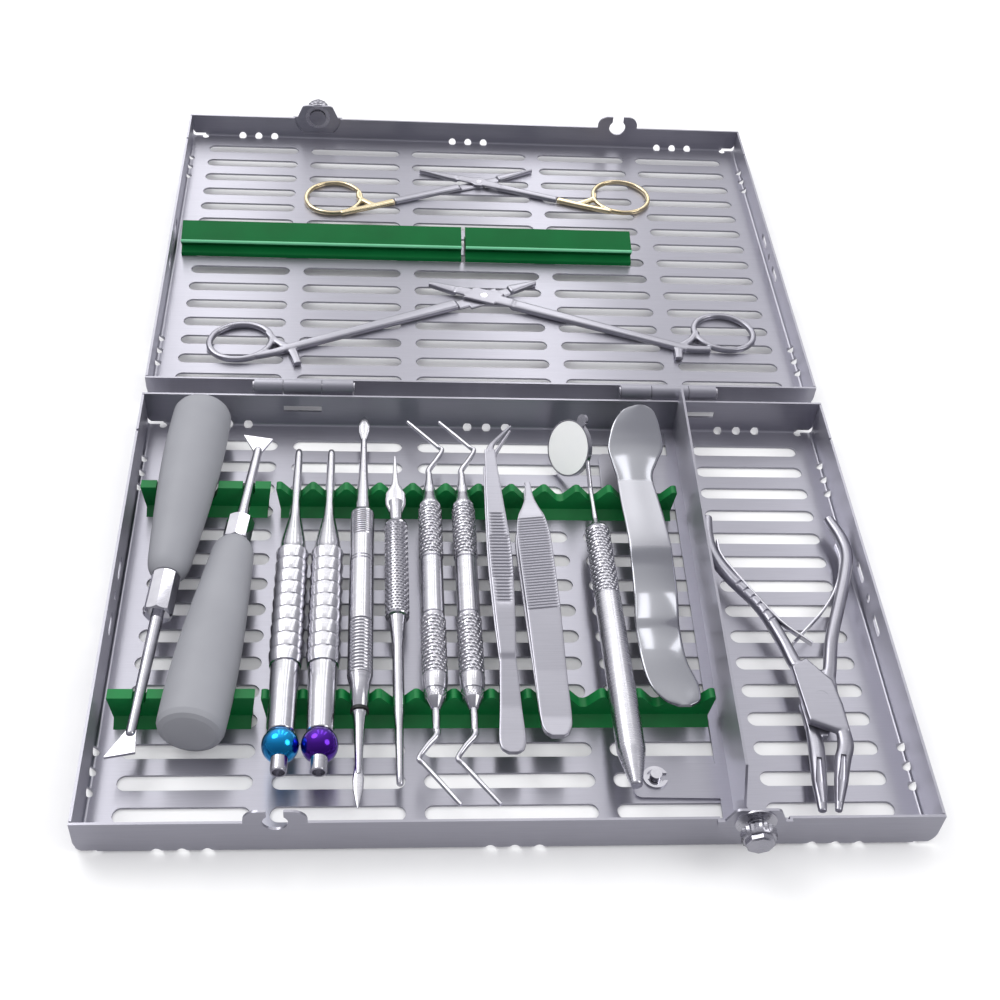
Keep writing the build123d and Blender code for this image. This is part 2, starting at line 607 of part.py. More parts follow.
# ------------------------------------------------------------------- divider
def divider():
    """Folded partition with a foot along the floor and a fixing pad at each end."""
    rear_y = WALL_REAR_Y - SHEET - DIVIDER_END_GAP
    front_y = WALL_FRONT_Y + SHEET + DIVIDER_END_GAP
    left = -SHEET / 2
    wall = side_plate(polygon([
        (rear_y, SHEET + BEND_RADIUS), (rear_y - BEND_RADIUS, SHEET), (front_y + BEND_RADIUS, SHEET),
        (front_y, SHEET + BEND_RADIUS), (front_y, DIVIDER_SLOPE_END),
        (front_y + DIVIDER_SLOPE, DIVIDER_TOP), (rear_y, DIVIDER_TOP),
    ]), left, left + SHEET)
    foot = block((left - DIVIDER_FOOT, left), (front_y + BEND_RADIUS, rear_y - BEND_RADIUS), (SHEET, 2 * SHEET))
    shape = wall + foot
    for y, depth in ((FRONT_PAD_Y, PAD_DEPTH), (REAR_PAD_Y, REAR_PAD_DEPTH)):
        pad = Pos(left - PAD_REACH / 2, y) * Rectangle(PAD_REACH, depth)
        pad = rounded(pad, [(left - PAD_REACH, y - depth / 2), (left - PAD_REACH, y + depth / 2)], 2 * STUD_DIAMETER / 3)
        shape += floor_plate(pad, SHEET, 2 * SHEET)
    turn = Pos(DIVIDER_X, MIDDLE_Y) * Rot(0, 0, -DIVIDER_SKEW) * Pos(0, -MIDDLE_Y)
    stud_hole = Pos(STUD_X, slot_row_y(STUD_ROW)) * Circle(STUD_DIAMETER / 2 + CLIP_GAP)
    return turn * shape - floor_plate(stud_hole, 0, 3 * SHEET)


def divider_stud():
    """Stud with its head flush in a floor slot and a groove for the clip."""
    head = floor_plate(Circle((SLOT_HEIGHT - 2 * CLIP_GAP) / 2), 0, SHEET)
    shank = floor_plate(Circle(STUD_DIAMETER / 2), SHEET, STUD_HEIGHT)
    groove = floor_plate(Circle(STUD_DIAMETER) - Circle(STUD_DIAMETER * 0.4), 2 * SHEET, 2 * SHEET + CLIP_THICKNESS)
    return Pos(STUD_X, slot_row_y(STUD_ROW)) * (head + shank - groove)


def divider_clip():
    """Snap ring in the stud's groove, open to the right."""
    ring = Circle(CLIP_DIAMETER / 2) - Circle(STUD_DIAMETER / 2 + STUD_DIAMETER / 4)
    for angle in (60, 180, 300):
        tooth = Rot(0, 0, angle) * Pos(CLIP_DIAMETER / 4 + STUD_DIAMETER * 0.2, 0)
        ring += tooth * Rectangle(CLIP_DIAMETER / 2 - STUD_DIAMETER * 0.4 - CLIP_GAP, STUD_DIAMETER * 0.45)
    ring &= Circle(CLIP_DIAMETER / 2)
    ring -= Circle(STUD_DIAMETER * 0.4 + CLIP_GAP)
    ring -= Pos(CLIP_DIAMETER / 2, 0) * Rectangle(CLIP_DIAMETER, STUD_DIAMETER * 0.7)
    z = 2 * SHEET
    return Pos(STUD_X, slot_row_y(STUD_ROW)) * floor_plate(ring, z, z + CLIP_THICKNESS - CLIP_GAP)


save(divider(), "divider")
save(divider_stud(), "divider_stud")
save(divider_clip(), "divider_clip")


# ----------------------------------------------------------------- elevators
FERRULE_RADIUS = 5.3
BLADE_THICKNESS = 1.2


def elevator_handle(rear, front, big_y, direction):
    """Pear-shaped handle, its round end at big_y and its neck one handle's length along direction."""
    small_y = big_y + direction * HANDLE_LENGTH
    plane, stretch = axis_plane(rear, front, small_y, big_y)
    full = HANDLE_LENGTH * stretch
    swell = [(5.2, 0), (7.1, 3.0), (8.0, 8.0), (9.0, 20.0), (10.4, 38.0), (11.3, 54.0), (HANDLE_RADIUS, full - 2.5)]
    side = Spline(*swell)
    end = Polyline(swell[-1], (HANDLE_RADIUS - 0.8, full - 0.7), (HANDLE_RADIUS - 2.6, full), (0, full), (0, 0), swell[0])
    return plane * revolve(Plane.XZ * make_face([side, end]), Axis.Z)


def ferrule(rear, front, start_y, stop_y):
    """Eight-sided collar with its edges broken at both ends."""
    plane, stretch = axis_plane(rear, front, start_y, stop_y)
    length = abs(stop_y - start_y) * stretch
    prism = extrude(RegularPolygon(FERRULE_RADIUS, 8), length)
    envelope = revolve(Plane.XZ * polygon([
        (0, 0), (FERRULE_RADIUS - 0.9, 0), (FERRULE_RADIUS, 0.9),
        (FERRULE_RADIUS, length - 0.9), (FERRULE_RADIUS - 0.9, length), (0, length),
    ]), Axis.Z)
    return plane * (prism & envelope)


def elevator_blade(rear, front, collar_y, neck_y, corners):
    """Tapered shank with a thin triangular blade, its corners measured from the tray's left side."""
    neck = axis_at(rear, front, neck_y)
    shank = turned(rear, front, [(collar_y, 2.3), (neck_y, 1.7)])
    half = BLADE_THICKNESS / 2
    blade = floor_plate(Pos(-HALF_WIDTH, 0) * polygon(corners), neck.Z - half, neck.Z + half)
    return shank + Pos(*neck) * Sphere(1.7) + blade


LEFT_HANDLE_Y = -12.6
LEFT_NECK_Y = LEFT_HANDLE_Y - HANDLE_LENGTH
LEFT_COLLAR_Y = LEFT_NECK_Y - 18.6
LEFT_BLADE = [(12.6, -166.6), (16.0, -166.4), (16.6, -175.0), (6.8, -176.9)]
RIGHT_HANDLE_Y = -168.6
RIGHT_NECK_Y = RIGHT_HANDLE_Y + HANDLE_LENGTH
RIGHT_COLLAR_Y = RIGHT_NECK_Y + 12.0
RIGHT_BLADE = [(45.9, -32.2), (49.2, -32.4), (53.0, -25.3), (41.5, -23.2)]

save(elevator_handle(LEFT_REAR, LEFT_FRONT, LEFT_HANDLE_Y, -1), "elevator_left_handle")
save(ferrule(LEFT_REAR, LEFT_FRONT, LEFT_NECK_Y, LEFT_COLLAR_Y), "elevator_left_ferrule")
save(elevator_blade(LEFT_REAR, LEFT_FRONT, LEFT_COLLAR_Y, -167.2, LEFT_BLADE), "elevator_left_blade")
save(elevator_handle(RIGHT_REAR, RIGHT_FRONT, RIGHT_HANDLE_Y, 1), "elevator_right_handle")
save(ferrule(RIGHT_REAR, RIGHT_FRONT, RIGHT_NECK_Y, RIGHT_COLLAR_Y), "elevator_right_ferrule")
save(elevator_blade(RIGHT_REAR, RIGHT_FRONT, RIGHT_COLLAR_Y, -31.8, RIGHT_BLADE), "elevator_right_blade")


# ---------------------------------------------------------------- osteotomes
OSTEOTOME_TAIL = 4.9
OSTEOTOME_NUB = 2.85
OSTEOTOME_END = -169.6       # tail's end, where the ball is seated
OSTEOTOME_BALL_Y = -174.3


def osteotome(x):
    """Slim tip, ringed grip and plain tail that carries the colour-coded ball."""
    rear = (x, rest_height(1.75))
    front = (x, rest_height(OSTEOTOME_TAIL))
    stations = [(-28.5, 1.3), (-31.0, 1.6), (-66.5, 2.0), (-83.4, 4.9)]
    stations += grooved(-85.9, -141.0, 6.1, 9, 0.6)
    stations += [(-142.0, 5.2), (-153.0, OSTEOTOME_TAIL), (OSTEOTOME_END, 4.7), (OSTEOTOME_END, OSTEOTOME_NUB)]
    body = turned(rear, front, stations + [(-185.2, OSTEOTOME_NUB)])
    centre = axis_at(rear, front, OSTEOTOME_BALL_Y)
    bore = OSTEOTOME_NUB + FLAT_GAP
    hole = turned(rear, front, [(OSTEOTOME_BALL_Y + BALL_DIAMETER, bore), (OSTEOTOME_BALL_Y - BALL_DIAMETER, bore)])
    ball = Pos(*centre) * Sphere(BALL_DIAMETER / 2) - hole
    seat_y = OSTEOTOME_END - FLAT_GAP
    shoulder = turned(rear, front, [(OSTEOTOME_BALL_Y + BALL_DIAMETER, BALL_DIAMETER), (seat_y, BALL_DIAMETER)])
    return body, ball - shoulder


for colour, valley in (("blue", 0), ("violet", 1)):
    grip, ball = osteotome(valley_x(valley))
    save(grip, f"osteotome_{colour}")
    save(ball, f"osteotome_{colour}_ball")


# -------------------------------------------------- slim double-ended pieces
def periosteal_elevator():
    """Round handle with a spoon at one end and a slim leaf at the other, and its marking ring."""
    x = valley_x(2)
    radius = 4.5
    rear, front = (x, rest_height(2.7)), (x, rest_height(3.7))
    ring_y = -158.6
    neck, groove = 2.8, 2.4
    stations = [(-21.0, 1.2), (-40.0, 1.7), (-52.8, 2.5), (-60.0, 2.9), (-64.2, 2.9), (-65.2, 4.0)]
    stations += [(-66.4, radius), (-144.0, radius), (-147.5, 3.7)]
    stations += [(ring_y + 0.6, neck), (ring_y + 0.6, groove), (ring_y - 0.6, groove)]
    stations += [(ring_y - 0.6, neck), (-161.5, 2.2), (-172.0, 1.6), (-184.0, 1.2)]
    spoon_z = axis_at(rear, front, -16.0).Z
    spoon = floor_plate(Pos(x, -16.2) * Ellipse(2.4, 6.2), spoon_z - 0.6, spoon_z + 0.6)
    leaf_z = axis_at(rear, front, -190.0).Z
    leaf = floor_plate(Pos(x, -187.5) * Ellipse(1.9, 9.6), leaf_z - 0.6, leaf_z + 0.6)
    ring = turned(rear, front, [(ring_y + 0.6, neck + 0.4), (ring_y - 0.6, neck + 0.4)])
    core = turned(rear, front, [(ring_y + 1.0, groove), (ring_y - 1.0, groove)])
    return turned(rear, front, stations) + spoon + leaf, ring - core


def blade_handle():
    """Knurled handle with a flared jaw for a small blade and a long tail."""
    x = valley_x(3)
    flare = 4.1
    rear, front = (x - 0.4, rest_height(3.4)), (x + 0.4, rest_height(2.4))
    stations = [(-35.3, 1.0), (-46.0, 1.3), (-49.6, 1.8), (-58.5, flare), (-61.5, 4.0), (-70.6, 2.4)]
    stations += [(-70.8, 3.4), (-72.2, 4.45), (-116.4, 4.45), (-116.8, 3.3), (-124.0, 2.5), (-131.0, 2.1)]
    return turned(rear, front, stations + [(-157.0, 2.1), (-164.0, 1.5), (-186.3, 1.1)])


def curette(x):
    """Hollow handle and its two bent working ends."""
    radius, beads = 4.2, 4.6
    rear, front = (x, rest_height(2.7)), (x, rest_height(radius))
    handle = turned(rear, front, [
        (-43.0, 1.3), (-47.0, 1.6), (-52.9, 2.6), (-57.5, 3.4), (-60.5, 4.1), (-62.6, beads),
        (-88.8, beads), (-89.2, 3.9), (-89.6, radius), (-117.2, radius), (-117.6, 3.9), (-118.0, beads),
        (-144.6, beads), (-151.0, 4.1), (-154.4, 3.5), (-158.6, 1.9), (-167.5, 1.3),
    ])
    neck = axis_at(rear, front, -42.6)
    tail = axis_at(rear, front, -167.9)
    ends = []
    for root, bend, tip in (
        (neck, (5.5, 13.0, 0), (-8.1, 28.4, 1.0)),
        (tail, (-6.0, -10.6, 0), (7.2, -29.0, 1.0)),
    ):
        points = [tuple(root), tuple(root + Vector(*bend)), tuple(root + Vector(*tip))]
        ends.append(limb(points, [1.2, 0.9, 0.75]))
    return handle, ends[0] - handle, ends[1] - handle


grip, ring = periosteal_elevator()
save(grip, "periosteal_elevator")
save(ring, "periosteal_ring")
save(blade_handle(), "blade_handle")
for side, valley in (("left", 4), ("right", 5)):
    grip, rear_end, front_end = curette(valley_x(valley))
    save(grip, f"curette_{side}_handle")
    save(rear_end, f"curette_{side}_rear_end")
    save(front_end, f"curette_{side}_front_end")


# -------------------------------------------------------- sprung strip tools
def flat_rest(width):
    """Height of a flat strip's underside of this width lying across a valley."""
    on_flanks = VALLEY_POINT + width / 2 * tan(FLANK) + REST_GAP / cos(FLANK)
    return min(on_flanks, RAIL_TOP + REST_GAP)


def ribbon(middle, stations):
    """Outline along Y with smooth sides, from (Y, X from the middle, width) stations."""
    left = [(middle + x - width / 2, y) for y, x, width in stations]
    right = [(middle + x + width / 2, y) for y, x, width in stations]
    return make_face([Spline(*left), Spline(*right), Line(left[0], right[0]), Line(left[-1], right[-1])])


def strip(outline, points, thickness):
    """Bent strip: a plan outline kept between a (Y, Z) line and the same line lifted."""
    upper = [(y, z + thickness) for y, z in reversed(points)]
    slab = side_plate(polygon(points + upper), -HALF_WIDTH, HALF_WIDTH)
    return floor_plate(outline, 0, BASE_WALL + LID_WALL) & slab


def pinch_arms(middle, plan, rest, weld_y, spread, thickness):
    """Two arms of sprung strip, flat on each other from weld_y to the closed end."""
    tip_y, end_y = plan[0][0], plan[-1][0]

    def lower_z(y):
        return axis_at((0, rest[0]), (0, rest[1]), y).Z

    lower = strip(ribbon(middle, plan), [(tip_y, lower_z(tip_y)), (end_y, lower_z(end_y))], thickness)
    raised = [(y, lower_z(y) + thickness + lift) for y, lift in spread]
    raised += [(weld_y, lower_z(weld_y) + thickness), (end_y, lower_z(end_y) + thickness)]
    return lower, strip(ribbon(middle, plan), raised, thickness)


def tweezers():
    """Angled-tip tweezers lying on the side of their arms."""
    plan = [
        (-41.5, -2.3, 4.0), (-52.3, -2.0, 5.0), (-70.0, -1.4, 6.8), (-92.0, -0.6, 8.5), (-118.0, -0.3, 7.4),
        (-141.0, -0.1, 5.6), (-158.0, -0.1, 7.6), (-172.0, -0.2, 9.2), (-176.0, -0.2, 6.0),
    ]
    rest = (flat_rest(9.4), flat_rest(8.6))
    arms = pinch_arms(valley_x(6), plan, rest, -160.0, [(-41.5, 8.5), (-120.0, 4.2)], 1.2)
    bent = []
    for arm, sign in zip(arms, (1, -1)):
        middle = arm.faces().sort_by(Axis.Y)[-1].center()
        points = [tuple(middle + Vector(0, -1.0, 0)), tuple(middle + Vector(1.2, 3.5, sign * 0.2))]
        points.append(tuple(middle + Vector(9.5, 18.0, sign * 3.6)))
        bent.append(arm + limb(points, [0.6, 1.0, 0.45]))
    return bent


def tissue_forceps():
    """Broad-armed forceps with narrow tips."""
    plan = [
        (-51.0, -0.3, 2.2), (-60.0, -0.4, 3.4), (-66.5, -0.5, 6.0), (-75.0, -0.5, 10.6), (-85.0, -0.2, 12.8),
        (-118.0, 0.7, 12.2), (-145.0, 1.4, 11.2), (-166.0, 1.9, 10.6), (-171.4, 2.0, 7.6),
    ]
    rest = (flat_rest(4.0), flat_rest(VALLEY_PITCH))
    return pinch_arms(valley_x(7), plan, rest, -158.0, [(-51.0, 3.4), (-70.0, 6.4), (-120.0, 5.2)], 1.2)


TWEEZER_ARMS = tweezers()
save(TWEEZER_ARMS[0], "tweezers_lower_arm")
save(TWEEZER_ARMS[1], "tweezers_upper_arm")
FORCEPS_ARMS = tissue_forceps()
save(FORCEPS_ARMS[0], "tissue_forceps_lower_arm")
save(FORCEPS_ARMS[1], "tissue_forceps_upper_arm")


# -------------------------------------------------------------- mouth mirror
MIRROR_REAR = (valley_x(9) - 0.3, rest_height(1.4))
MIRROR_FRONT = (valley_x(9) + 0.3, rest_height(4.9))
MIRROR_CENTRE = (valley_x(9) - 8.1, -30.2, 13.5)
MIRROR_TURN = 51.3          # how far the raised face looks to the left
MIRROR_RADIUS = 11.5
MIRROR_RIM = 0.6
GLASS_DEPTH = 0.5
MIRROR_NECK_Y = -66.7


def mirror_handle():
    stations = [(MIRROR_NECK_Y, 1.6), (-71.5, 4.0), (-73.5, 4.9), (-177.5, 4.9), (-191.3, 2.0)]
    return turned(MIRROR_REAR, MIRROR_FRONT, stations)


def mirror_head(face_plane):
    """Dished holder with a side tab, on its bent stem."""
    dish = Pos(0, 0, -1) * Cylinder(MIRROR_RADIUS, 2.0)
    tab = extrude(Pos(7.3, 11.0) * Circle(2.4) + Pos(5.8, 8.8) * Rectangle(3.4, 3.4, rotation=55), -1.4)
    recess = Pos(0, 0, -GLASS_DEPTH / 2) * Cylinder(MIRROR_RADIUS - MIRROR_RIM, GLASS_DEPTH)
    rim = face_plane.from_local_coords((9.9, -5.7, -1.0))
    points = [
        tuple(axis_at(MIRROR_REAR, MIRROR_FRONT, MIRROR_NECK_Y)),
        tuple(axis_at(MIRROR_REAR, MIRROR_FRONT, -49.0)),
        tuple(rim),
    ]
    stem = limb(points, [1.2, 1.0, 0.9]) - mirror_handle()
    return face_plane * (dish + tab) + stem - face_plane * recess


TURN_SIN, TURN_COS = sin(radians(MIRROR_TURN)), cos(radians(MIRROR_TURN))
MIRROR_FACE = Plane(
    origin=MIRROR_CENTRE,
    x_dir=(TURN_COS, -TURN_SIN / sqrt(2), TURN_SIN / sqrt(2)),
    z_dir=(-TURN_SIN, -TURN_COS / sqrt(2), TURN_COS / sqrt(2)),
)
save(mirror_handle(), "mirror_handle")
save(mirror_head(MIRROR_FACE), "mirror_head")
GLASS = Pos(0, 0, -GLASS_DEPTH / 2) * Cylinder(MIRROR_RADIUS - MIRROR_RIM - FLAT_GAP, GLASS_DEPTH)
save(MIRROR_FACE * GLASS, "mirror_glass")


# ------------------------------------------------------------ bent retractor
def retractor():
    """Cheek retractor: one bent plate, broad and rounded at both ends."""
    plan = [
        (-12.4, 9.5, 5.0), (-15.5, 8.3, 14.0), (-21.0, 7.3, 19.0), (-30.5, 6.3, 22.6), (-38.0, 5.1, 18.8),
        (-47.0, 4.1, 14.6), (-61.0, 4.8, 15.4), (-83.0, 6.1, 16.2), (-104.0, 6.1, 16.6),
        (-124.0, 3.7, 16.2), (-138.0, 3.6, 16.2), (-149.0, 6.1, 17.6), (-155.5, 8.1, 12.6), (-158.0, 8.7, 5.0),
    ]
    rest = RAIL_TOP + REST_GAP
    line = [
        (-12.4, rest + 6.7), (-18.5, rest + 4.7), (-26.0, rest + 2.3), (-33.0, rest + 0.6), (-42.0, rest),
        (-75.0, rest), (-83.0, rest - 0.6), (-92.0, rest - 3.3), (-104.0, rest - 5.0), (-115.0, rest - 3.7),
        (-124.0, rest - 0.5), (-129.0, rest + 1.1), (-138.0, rest + 1.1), (-149.0, rest), (-158.0, rest),
    ]
    return strip(ribbon(valley_x(10), plan), line, 1.5)


save(retractor(), "retractor")


# ------------------------------------------------------------------- rongeur
RONGEUR_PIVOT = (HALF_WIDTH - 29.2, -152.0)
RONGEUR_Z = 8.0
RONGEUR_PLATE = 3.2
RONGEUR_GRIP = 2.5
RIVET_RADIUS = 2.5
LEAF = 0.9
LEAF_HEIGHT = 2.2


def placed(points):
    """Points measured from the middle of the joint."""
    return [(RONGEUR_PIVOT[0] + x, RONGEUR_PIVOT[1] + y, RONGEUR_Z + rise) for x, y, rise in points]


def rongeur_left():
    """Upper half: left handle, upper plate and right jaw."""
    handle = lofted(placed([
        (-26.8, 89.0, 0), (-28.2, 78.0, 0), (-27.4, 69.0, 0), (-23.4, 59.0, 0),
        (-13.8, 43.5, 0), (-8.4, 27.5, 0), (-5.0, 16.0, 0.6),
    ]), [2.2, RONGEUR_GRIP, RONGEUR_GRIP, RONGEUR_GRIP, RONGEUR_GRIP, RONGEUR_GRIP, 2.4])
    plate = polygon([
        (-7.6, 13.5), (-2.6, 17.2), (5.8, 7.5), (7.2, -3.7), (7.2, -15.5), (2.8, -15.0),
        (-6.5, -10.6),
    ])
    jaw = lofted(placed([
        (5.2, -13.0, 1.7), (4.8, -19.0, 1.2), (2.6, -25.0, 0.8), (0.2, -33.5, 0.4), (-3.2, -45.3, 0),
    ]), [1.6, 2.2, 2.4, 2.0, 1.2])
    low = RONGEUR_Z + BOX_GAP / 2
    return handle + floor_plate(Pos(*RONGEUR_PIVOT) * plate, low, low + RONGEUR_PLATE) + jaw


def rongeur_right():
    """Lower half: right handle, lower plate and left jaw, bored for the rivet."""
    handle = lofted(placed([
        (21.8, 89.0, 0), (24.8, 78.0, 0), (25.0, 69.0, 0), (21.8, 58.0, 0),
        (16.2, 43.5, 0), (10.2, 28.0, 0), (6.0, 13.0, -1.4),
    ]), [2.2, RONGEUR_GRIP, RONGEUR_GRIP, RONGEUR_GRIP, RONGEUR_GRIP, RONGEUR_GRIP, 2.3])
    plate = polygon([
        (3.5, 14.5), (8.6, 16.0), (7.6, 1.0), (0.2, -14.6), (-6.6, -14.8), (-7.2, 0.0),
        (-2.8, 8.6),
    ])
    jaw = lofted(placed([
        (-4.5, -11.5, -1.7), (-4.8, -17.5, -1.2), (-5.6, -23.5, -0.8), (-7.1, -34.0, -0.4), (-8.5, -45.2, 0),
    ]), [1.6, 2.2, 2.4, 2.0, 1.2])
    high = RONGEUR_Z - BOX_GAP / 2
    bore = Pos(*RONGEUR_PIVOT) * Circle(RIVET_RADIUS + SCREW_CLEARANCE)
    solid = handle + floor_plate(Pos(*RONGEUR_PIVOT) * plate, high - RONGEUR_PLATE, high) + jaw
    return solid - floor_plate(bore, 0, RONGEUR_Z)


def leaf_spring(points, rise):
    """Upright strip bent along the points, thick across and one leaf high."""
    outline = make_face(offset(Polyline(*points), LEAF / 2).edges())
    return floor_plate(Pos(*RONGEUR_PIVOT) * outline, RONGEUR_Z + rise, RONGEUR_Z + rise + LEAF_HEIGHT)


rivet = Pos(*RONGEUR_PIVOT) * Circle(RIVET_RADIUS)
LEFT_HALF = rongeur_left() - floor_plate(rivet, RONGEUR_Z, 2 * RONGEUR_Z)
save(LEFT_HALF, "rongeur_left")
save(rongeur_right(), "rongeur_right")
save(floor_plate(rivet, RONGEUR_Z - RONGEUR_PLATE, RONGEUR_Z + BOX_GAP / 2 + RONGEUR_PLATE), "rongeur_rivet")
LEFT_LEAF = leaf_spring([(-25.2, 76.0), (-24.8, 68.0), (-19.8, 57.0), (-8.2, 36.0), (2.2, 24.7)], 0.1)
RIGHT_LEAF = leaf_spring([(22.2, 76.0), (22.4, 68.0), (18.6, 56.0), (10.8, 43.2), (-4.5, 26.6)], -2.3)
save(LEFT_LEAF - LEFT_HALF, "rongeur_left_spring")
save(RIGHT_LEAF - rongeur_right(), "rongeur_right_spring")


# ------------------------------------------- ring-handled pairs in the lid
def tapered(start, stop, start_width, stop_width):
    """Straight arm in plan, with its own width at each end."""
    run = Vector(stop[0] - start[0], stop[1] - start[1])
    across = Vector(-run.Y, run.X) / run.length / 2
    corners = []
    for point, width in ((start, start_width), (start, -start_width), (stop, -stop_width), (stop, stop_width)):
        corners.append((point[0] + across.X * width, point[1] + across.Y * width))
    return polygon(corners)


def finger_ring(centre, half_length, half_width, angle, wire):
    turn = Pos(*centre) * Rot(0, 0, angle)
    return turn * (Ellipse(half_length, half_width) - Ellipse(half_length - wire, half_width - wire))


def lapped(outline, pivot, lap_radius, thickness, upper):
    """Flat half of a pair, thinned to its own half of the thickness round the pivot."""
    low = LID_TOP_Z + FLAT_GAP
    middle = low + thickness / 2
    solid = floor_plate(outline, low, low + thickness)
    lap = Pos(*pivot) * Circle(lap_radius)
    if upper:
        return solid - floor_plate(lap, low - 1, middle + BOX_GAP / 2)
    return solid - floor_plate(lap, middle - BOX_GAP / 2, low + thickness + 1)


NEEDLE_PIVOT = (2.2, 73.9)
NEEDLE_THICKNESS = 2.8
NEEDLE_LAP = 13.5
NEEDLE_SCREW = 1.8
SCISSOR_PIVOT = (4.0, 165.2)
SCISSOR_THICKNESS = 2.4
SCISSOR_LAP = 10.5
SCISSOR_SCREW = 1.5


def pivot_screw(pivot, radius, thickness):
    low = LID_TOP_Z + FLAT_GAP
    return floor_plate(Pos(*pivot) * Circle(radius), low, low + thickness)


def bored(solid, pivot, radius):
    return solid - floor_plate(Pos(*pivot) * Circle(radius), 0, BASE_WALL)


NEEDLE_LEFT = (
    finger_ring((-104.4, 39.7), 14.8, 12.8, 20, 3.2)
    + tapered((-96.0, 31.0), (-83.0, 36.6), 3.2, 4.4) + tapered((-92.5, 45.0), (-86.0, 37.0), 3.0, 4.2)
    + tapered((-84.0, 35.6), NEEDLE_PIVOT, 4.4, 6.4) + tapered((-82.6, 37.0), (-79.2, 25.0), 4.4, 3.8)
    + tapered(NEEDLE_PIVOT, (26.5, 85.0), 6.4, 2.2) + Pos(*NEEDLE_PIVOT) * Circle(4.2)
)
NEEDLE_RIGHT = (
    finger_ring((109.2, 52.0), 14.8, 13.2, -16, 3.2)
    + tapered((101.0, 40.6), (87.0, 41.6), 3.2, 4.4) + tapered((96.4, 51.0), (90.4, 43.0), 3.0, 4.2)
    + tapered((89.0, 41.0), NEEDLE_PIVOT, 4.4, 6.4) + tapered((87.0, 43.0), (86.4, 32.8), 4.4, 3.8)
    + tapered(NEEDLE_PIVOT, (-22.4, 82.6), 6.4, 2.2) + Pos(*NEEDLE_PIVOT) * Circle(4.2)
)
LEFT_JAWED = lapped(NEEDLE_LEFT, NEEDLE_PIVOT, NEEDLE_LAP, NEEDLE_THICKNESS, False)
RIGHT_JAWED = lapped(NEEDLE_RIGHT, NEEDLE_PIVOT, NEEDLE_LAP, NEEDLE_THICKNESS, True)
save(bored(LEFT_JAWED, NEEDLE_PIVOT, NEEDLE_SCREW), "needle_holder_left")
save(bored(RIGHT_JAWED, NEEDLE_PIVOT, NEEDLE_SCREW + SCREW_CLEARANCE), "needle_holder_right")
save(pivot_screw(NEEDLE_PIVOT, NEEDLE_SCREW, NEEDLE_THICKNESS), "needle_holder_screw")

GOLD_LEFT = (
    finger_ring((-67.3, 149.2), 14.4, 13.6, 23, 2.8)
    + tapered((-62.5, 136.6), (-38.0, 147.6), 2.8, 3.6) + tapered((-55.4, 152.0), (-50.0, 144.0), 2.8, 4.2)
)
GOLD_RIGHT = (
    finger_ring((74.1, 156.4), 14.8, 14.2, -18, 2.8)
    + tapered((67.0, 143.9), (42.0, 152.6), 2.8, 3.6) + tapered((61.0, 156.6), (55.0, 149.6), 2.8, 4.2)
)
SCISSOR_LEFT = (
    tapered((-38.0, 147.6), SCISSOR_PIVOT, 3.6, 4.8) + tapered(SCISSOR_PIVOT, (31.3, 177.2), 4.8, 0.8)
    + Pos(*SCISSOR_PIVOT) * Circle(3.4) - GOLD_LEFT
)
SCISSOR_RIGHT = (
    tapered((42.0, 152.6), SCISSOR_PIVOT, 3.6, 4.8) + tapered(SCISSOR_PIVOT, (-25.3, 174.2), 4.8, 0.8)
    + Pos(*SCISSOR_PIVOT) * Circle(3.4) - GOLD_RIGHT
)
LEFT_CUT = lapped(SCISSOR_LEFT, SCISSOR_PIVOT, SCISSOR_LAP, SCISSOR_THICKNESS, False)
RIGHT_CUT = lapped(SCISSOR_RIGHT, SCISSOR_PIVOT, SCISSOR_LAP, SCISSOR_THICKNESS, True)
save(bored(LEFT_CUT, SCISSOR_PIVOT, SCISSOR_SCREW), "scissors_left")
save(bored(RIGHT_CUT, SCISSOR_PIVOT, SCISSOR_SCREW + SCREW_CLEARANCE), "scissors_right")
save(pivot_screw(SCISSOR_PIVOT, SCISSOR_SCREW, SCISSOR_THICKNESS), "scissors_screw")
for plan, node in ((GOLD_LEFT, "scissors_left_ring"), (GOLD_RIGHT, "scissors_right_ring")):
    save(floor_plate(plan, LID_TOP_Z + FLAT_GAP, LID_TOP_Z + FLAT_GAP + SCISSOR_THICKNESS), node)
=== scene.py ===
# %% [markdown]
# # A dental instrument cassette, dressed around its CAD frame
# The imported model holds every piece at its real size. This lesson keeps the pieces whose shape is right,
# models the ones that need finer forms, and gives each surface the finish of the real material.

import json
import math

import bmesh
import bpy
import numpy as np
from mathutils import Matrix, Vector


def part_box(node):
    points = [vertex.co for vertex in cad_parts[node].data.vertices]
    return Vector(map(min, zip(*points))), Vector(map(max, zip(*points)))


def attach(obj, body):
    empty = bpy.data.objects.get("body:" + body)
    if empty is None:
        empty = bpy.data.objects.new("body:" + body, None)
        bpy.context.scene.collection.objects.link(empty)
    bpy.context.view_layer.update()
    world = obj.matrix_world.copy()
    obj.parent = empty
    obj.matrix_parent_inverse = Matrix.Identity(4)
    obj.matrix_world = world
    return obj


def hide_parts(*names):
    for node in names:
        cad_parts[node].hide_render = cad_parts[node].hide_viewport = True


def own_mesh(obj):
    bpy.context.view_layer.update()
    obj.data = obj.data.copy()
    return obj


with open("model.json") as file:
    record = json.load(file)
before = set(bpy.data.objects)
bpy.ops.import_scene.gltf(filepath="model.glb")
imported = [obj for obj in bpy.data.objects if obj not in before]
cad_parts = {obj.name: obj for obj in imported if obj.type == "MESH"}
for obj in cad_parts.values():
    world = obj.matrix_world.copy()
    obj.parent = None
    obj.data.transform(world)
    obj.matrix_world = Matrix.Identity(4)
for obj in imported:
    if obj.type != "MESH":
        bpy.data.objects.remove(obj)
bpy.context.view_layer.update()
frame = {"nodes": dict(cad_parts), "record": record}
NODES = frame["nodes"]
MM = 0.001

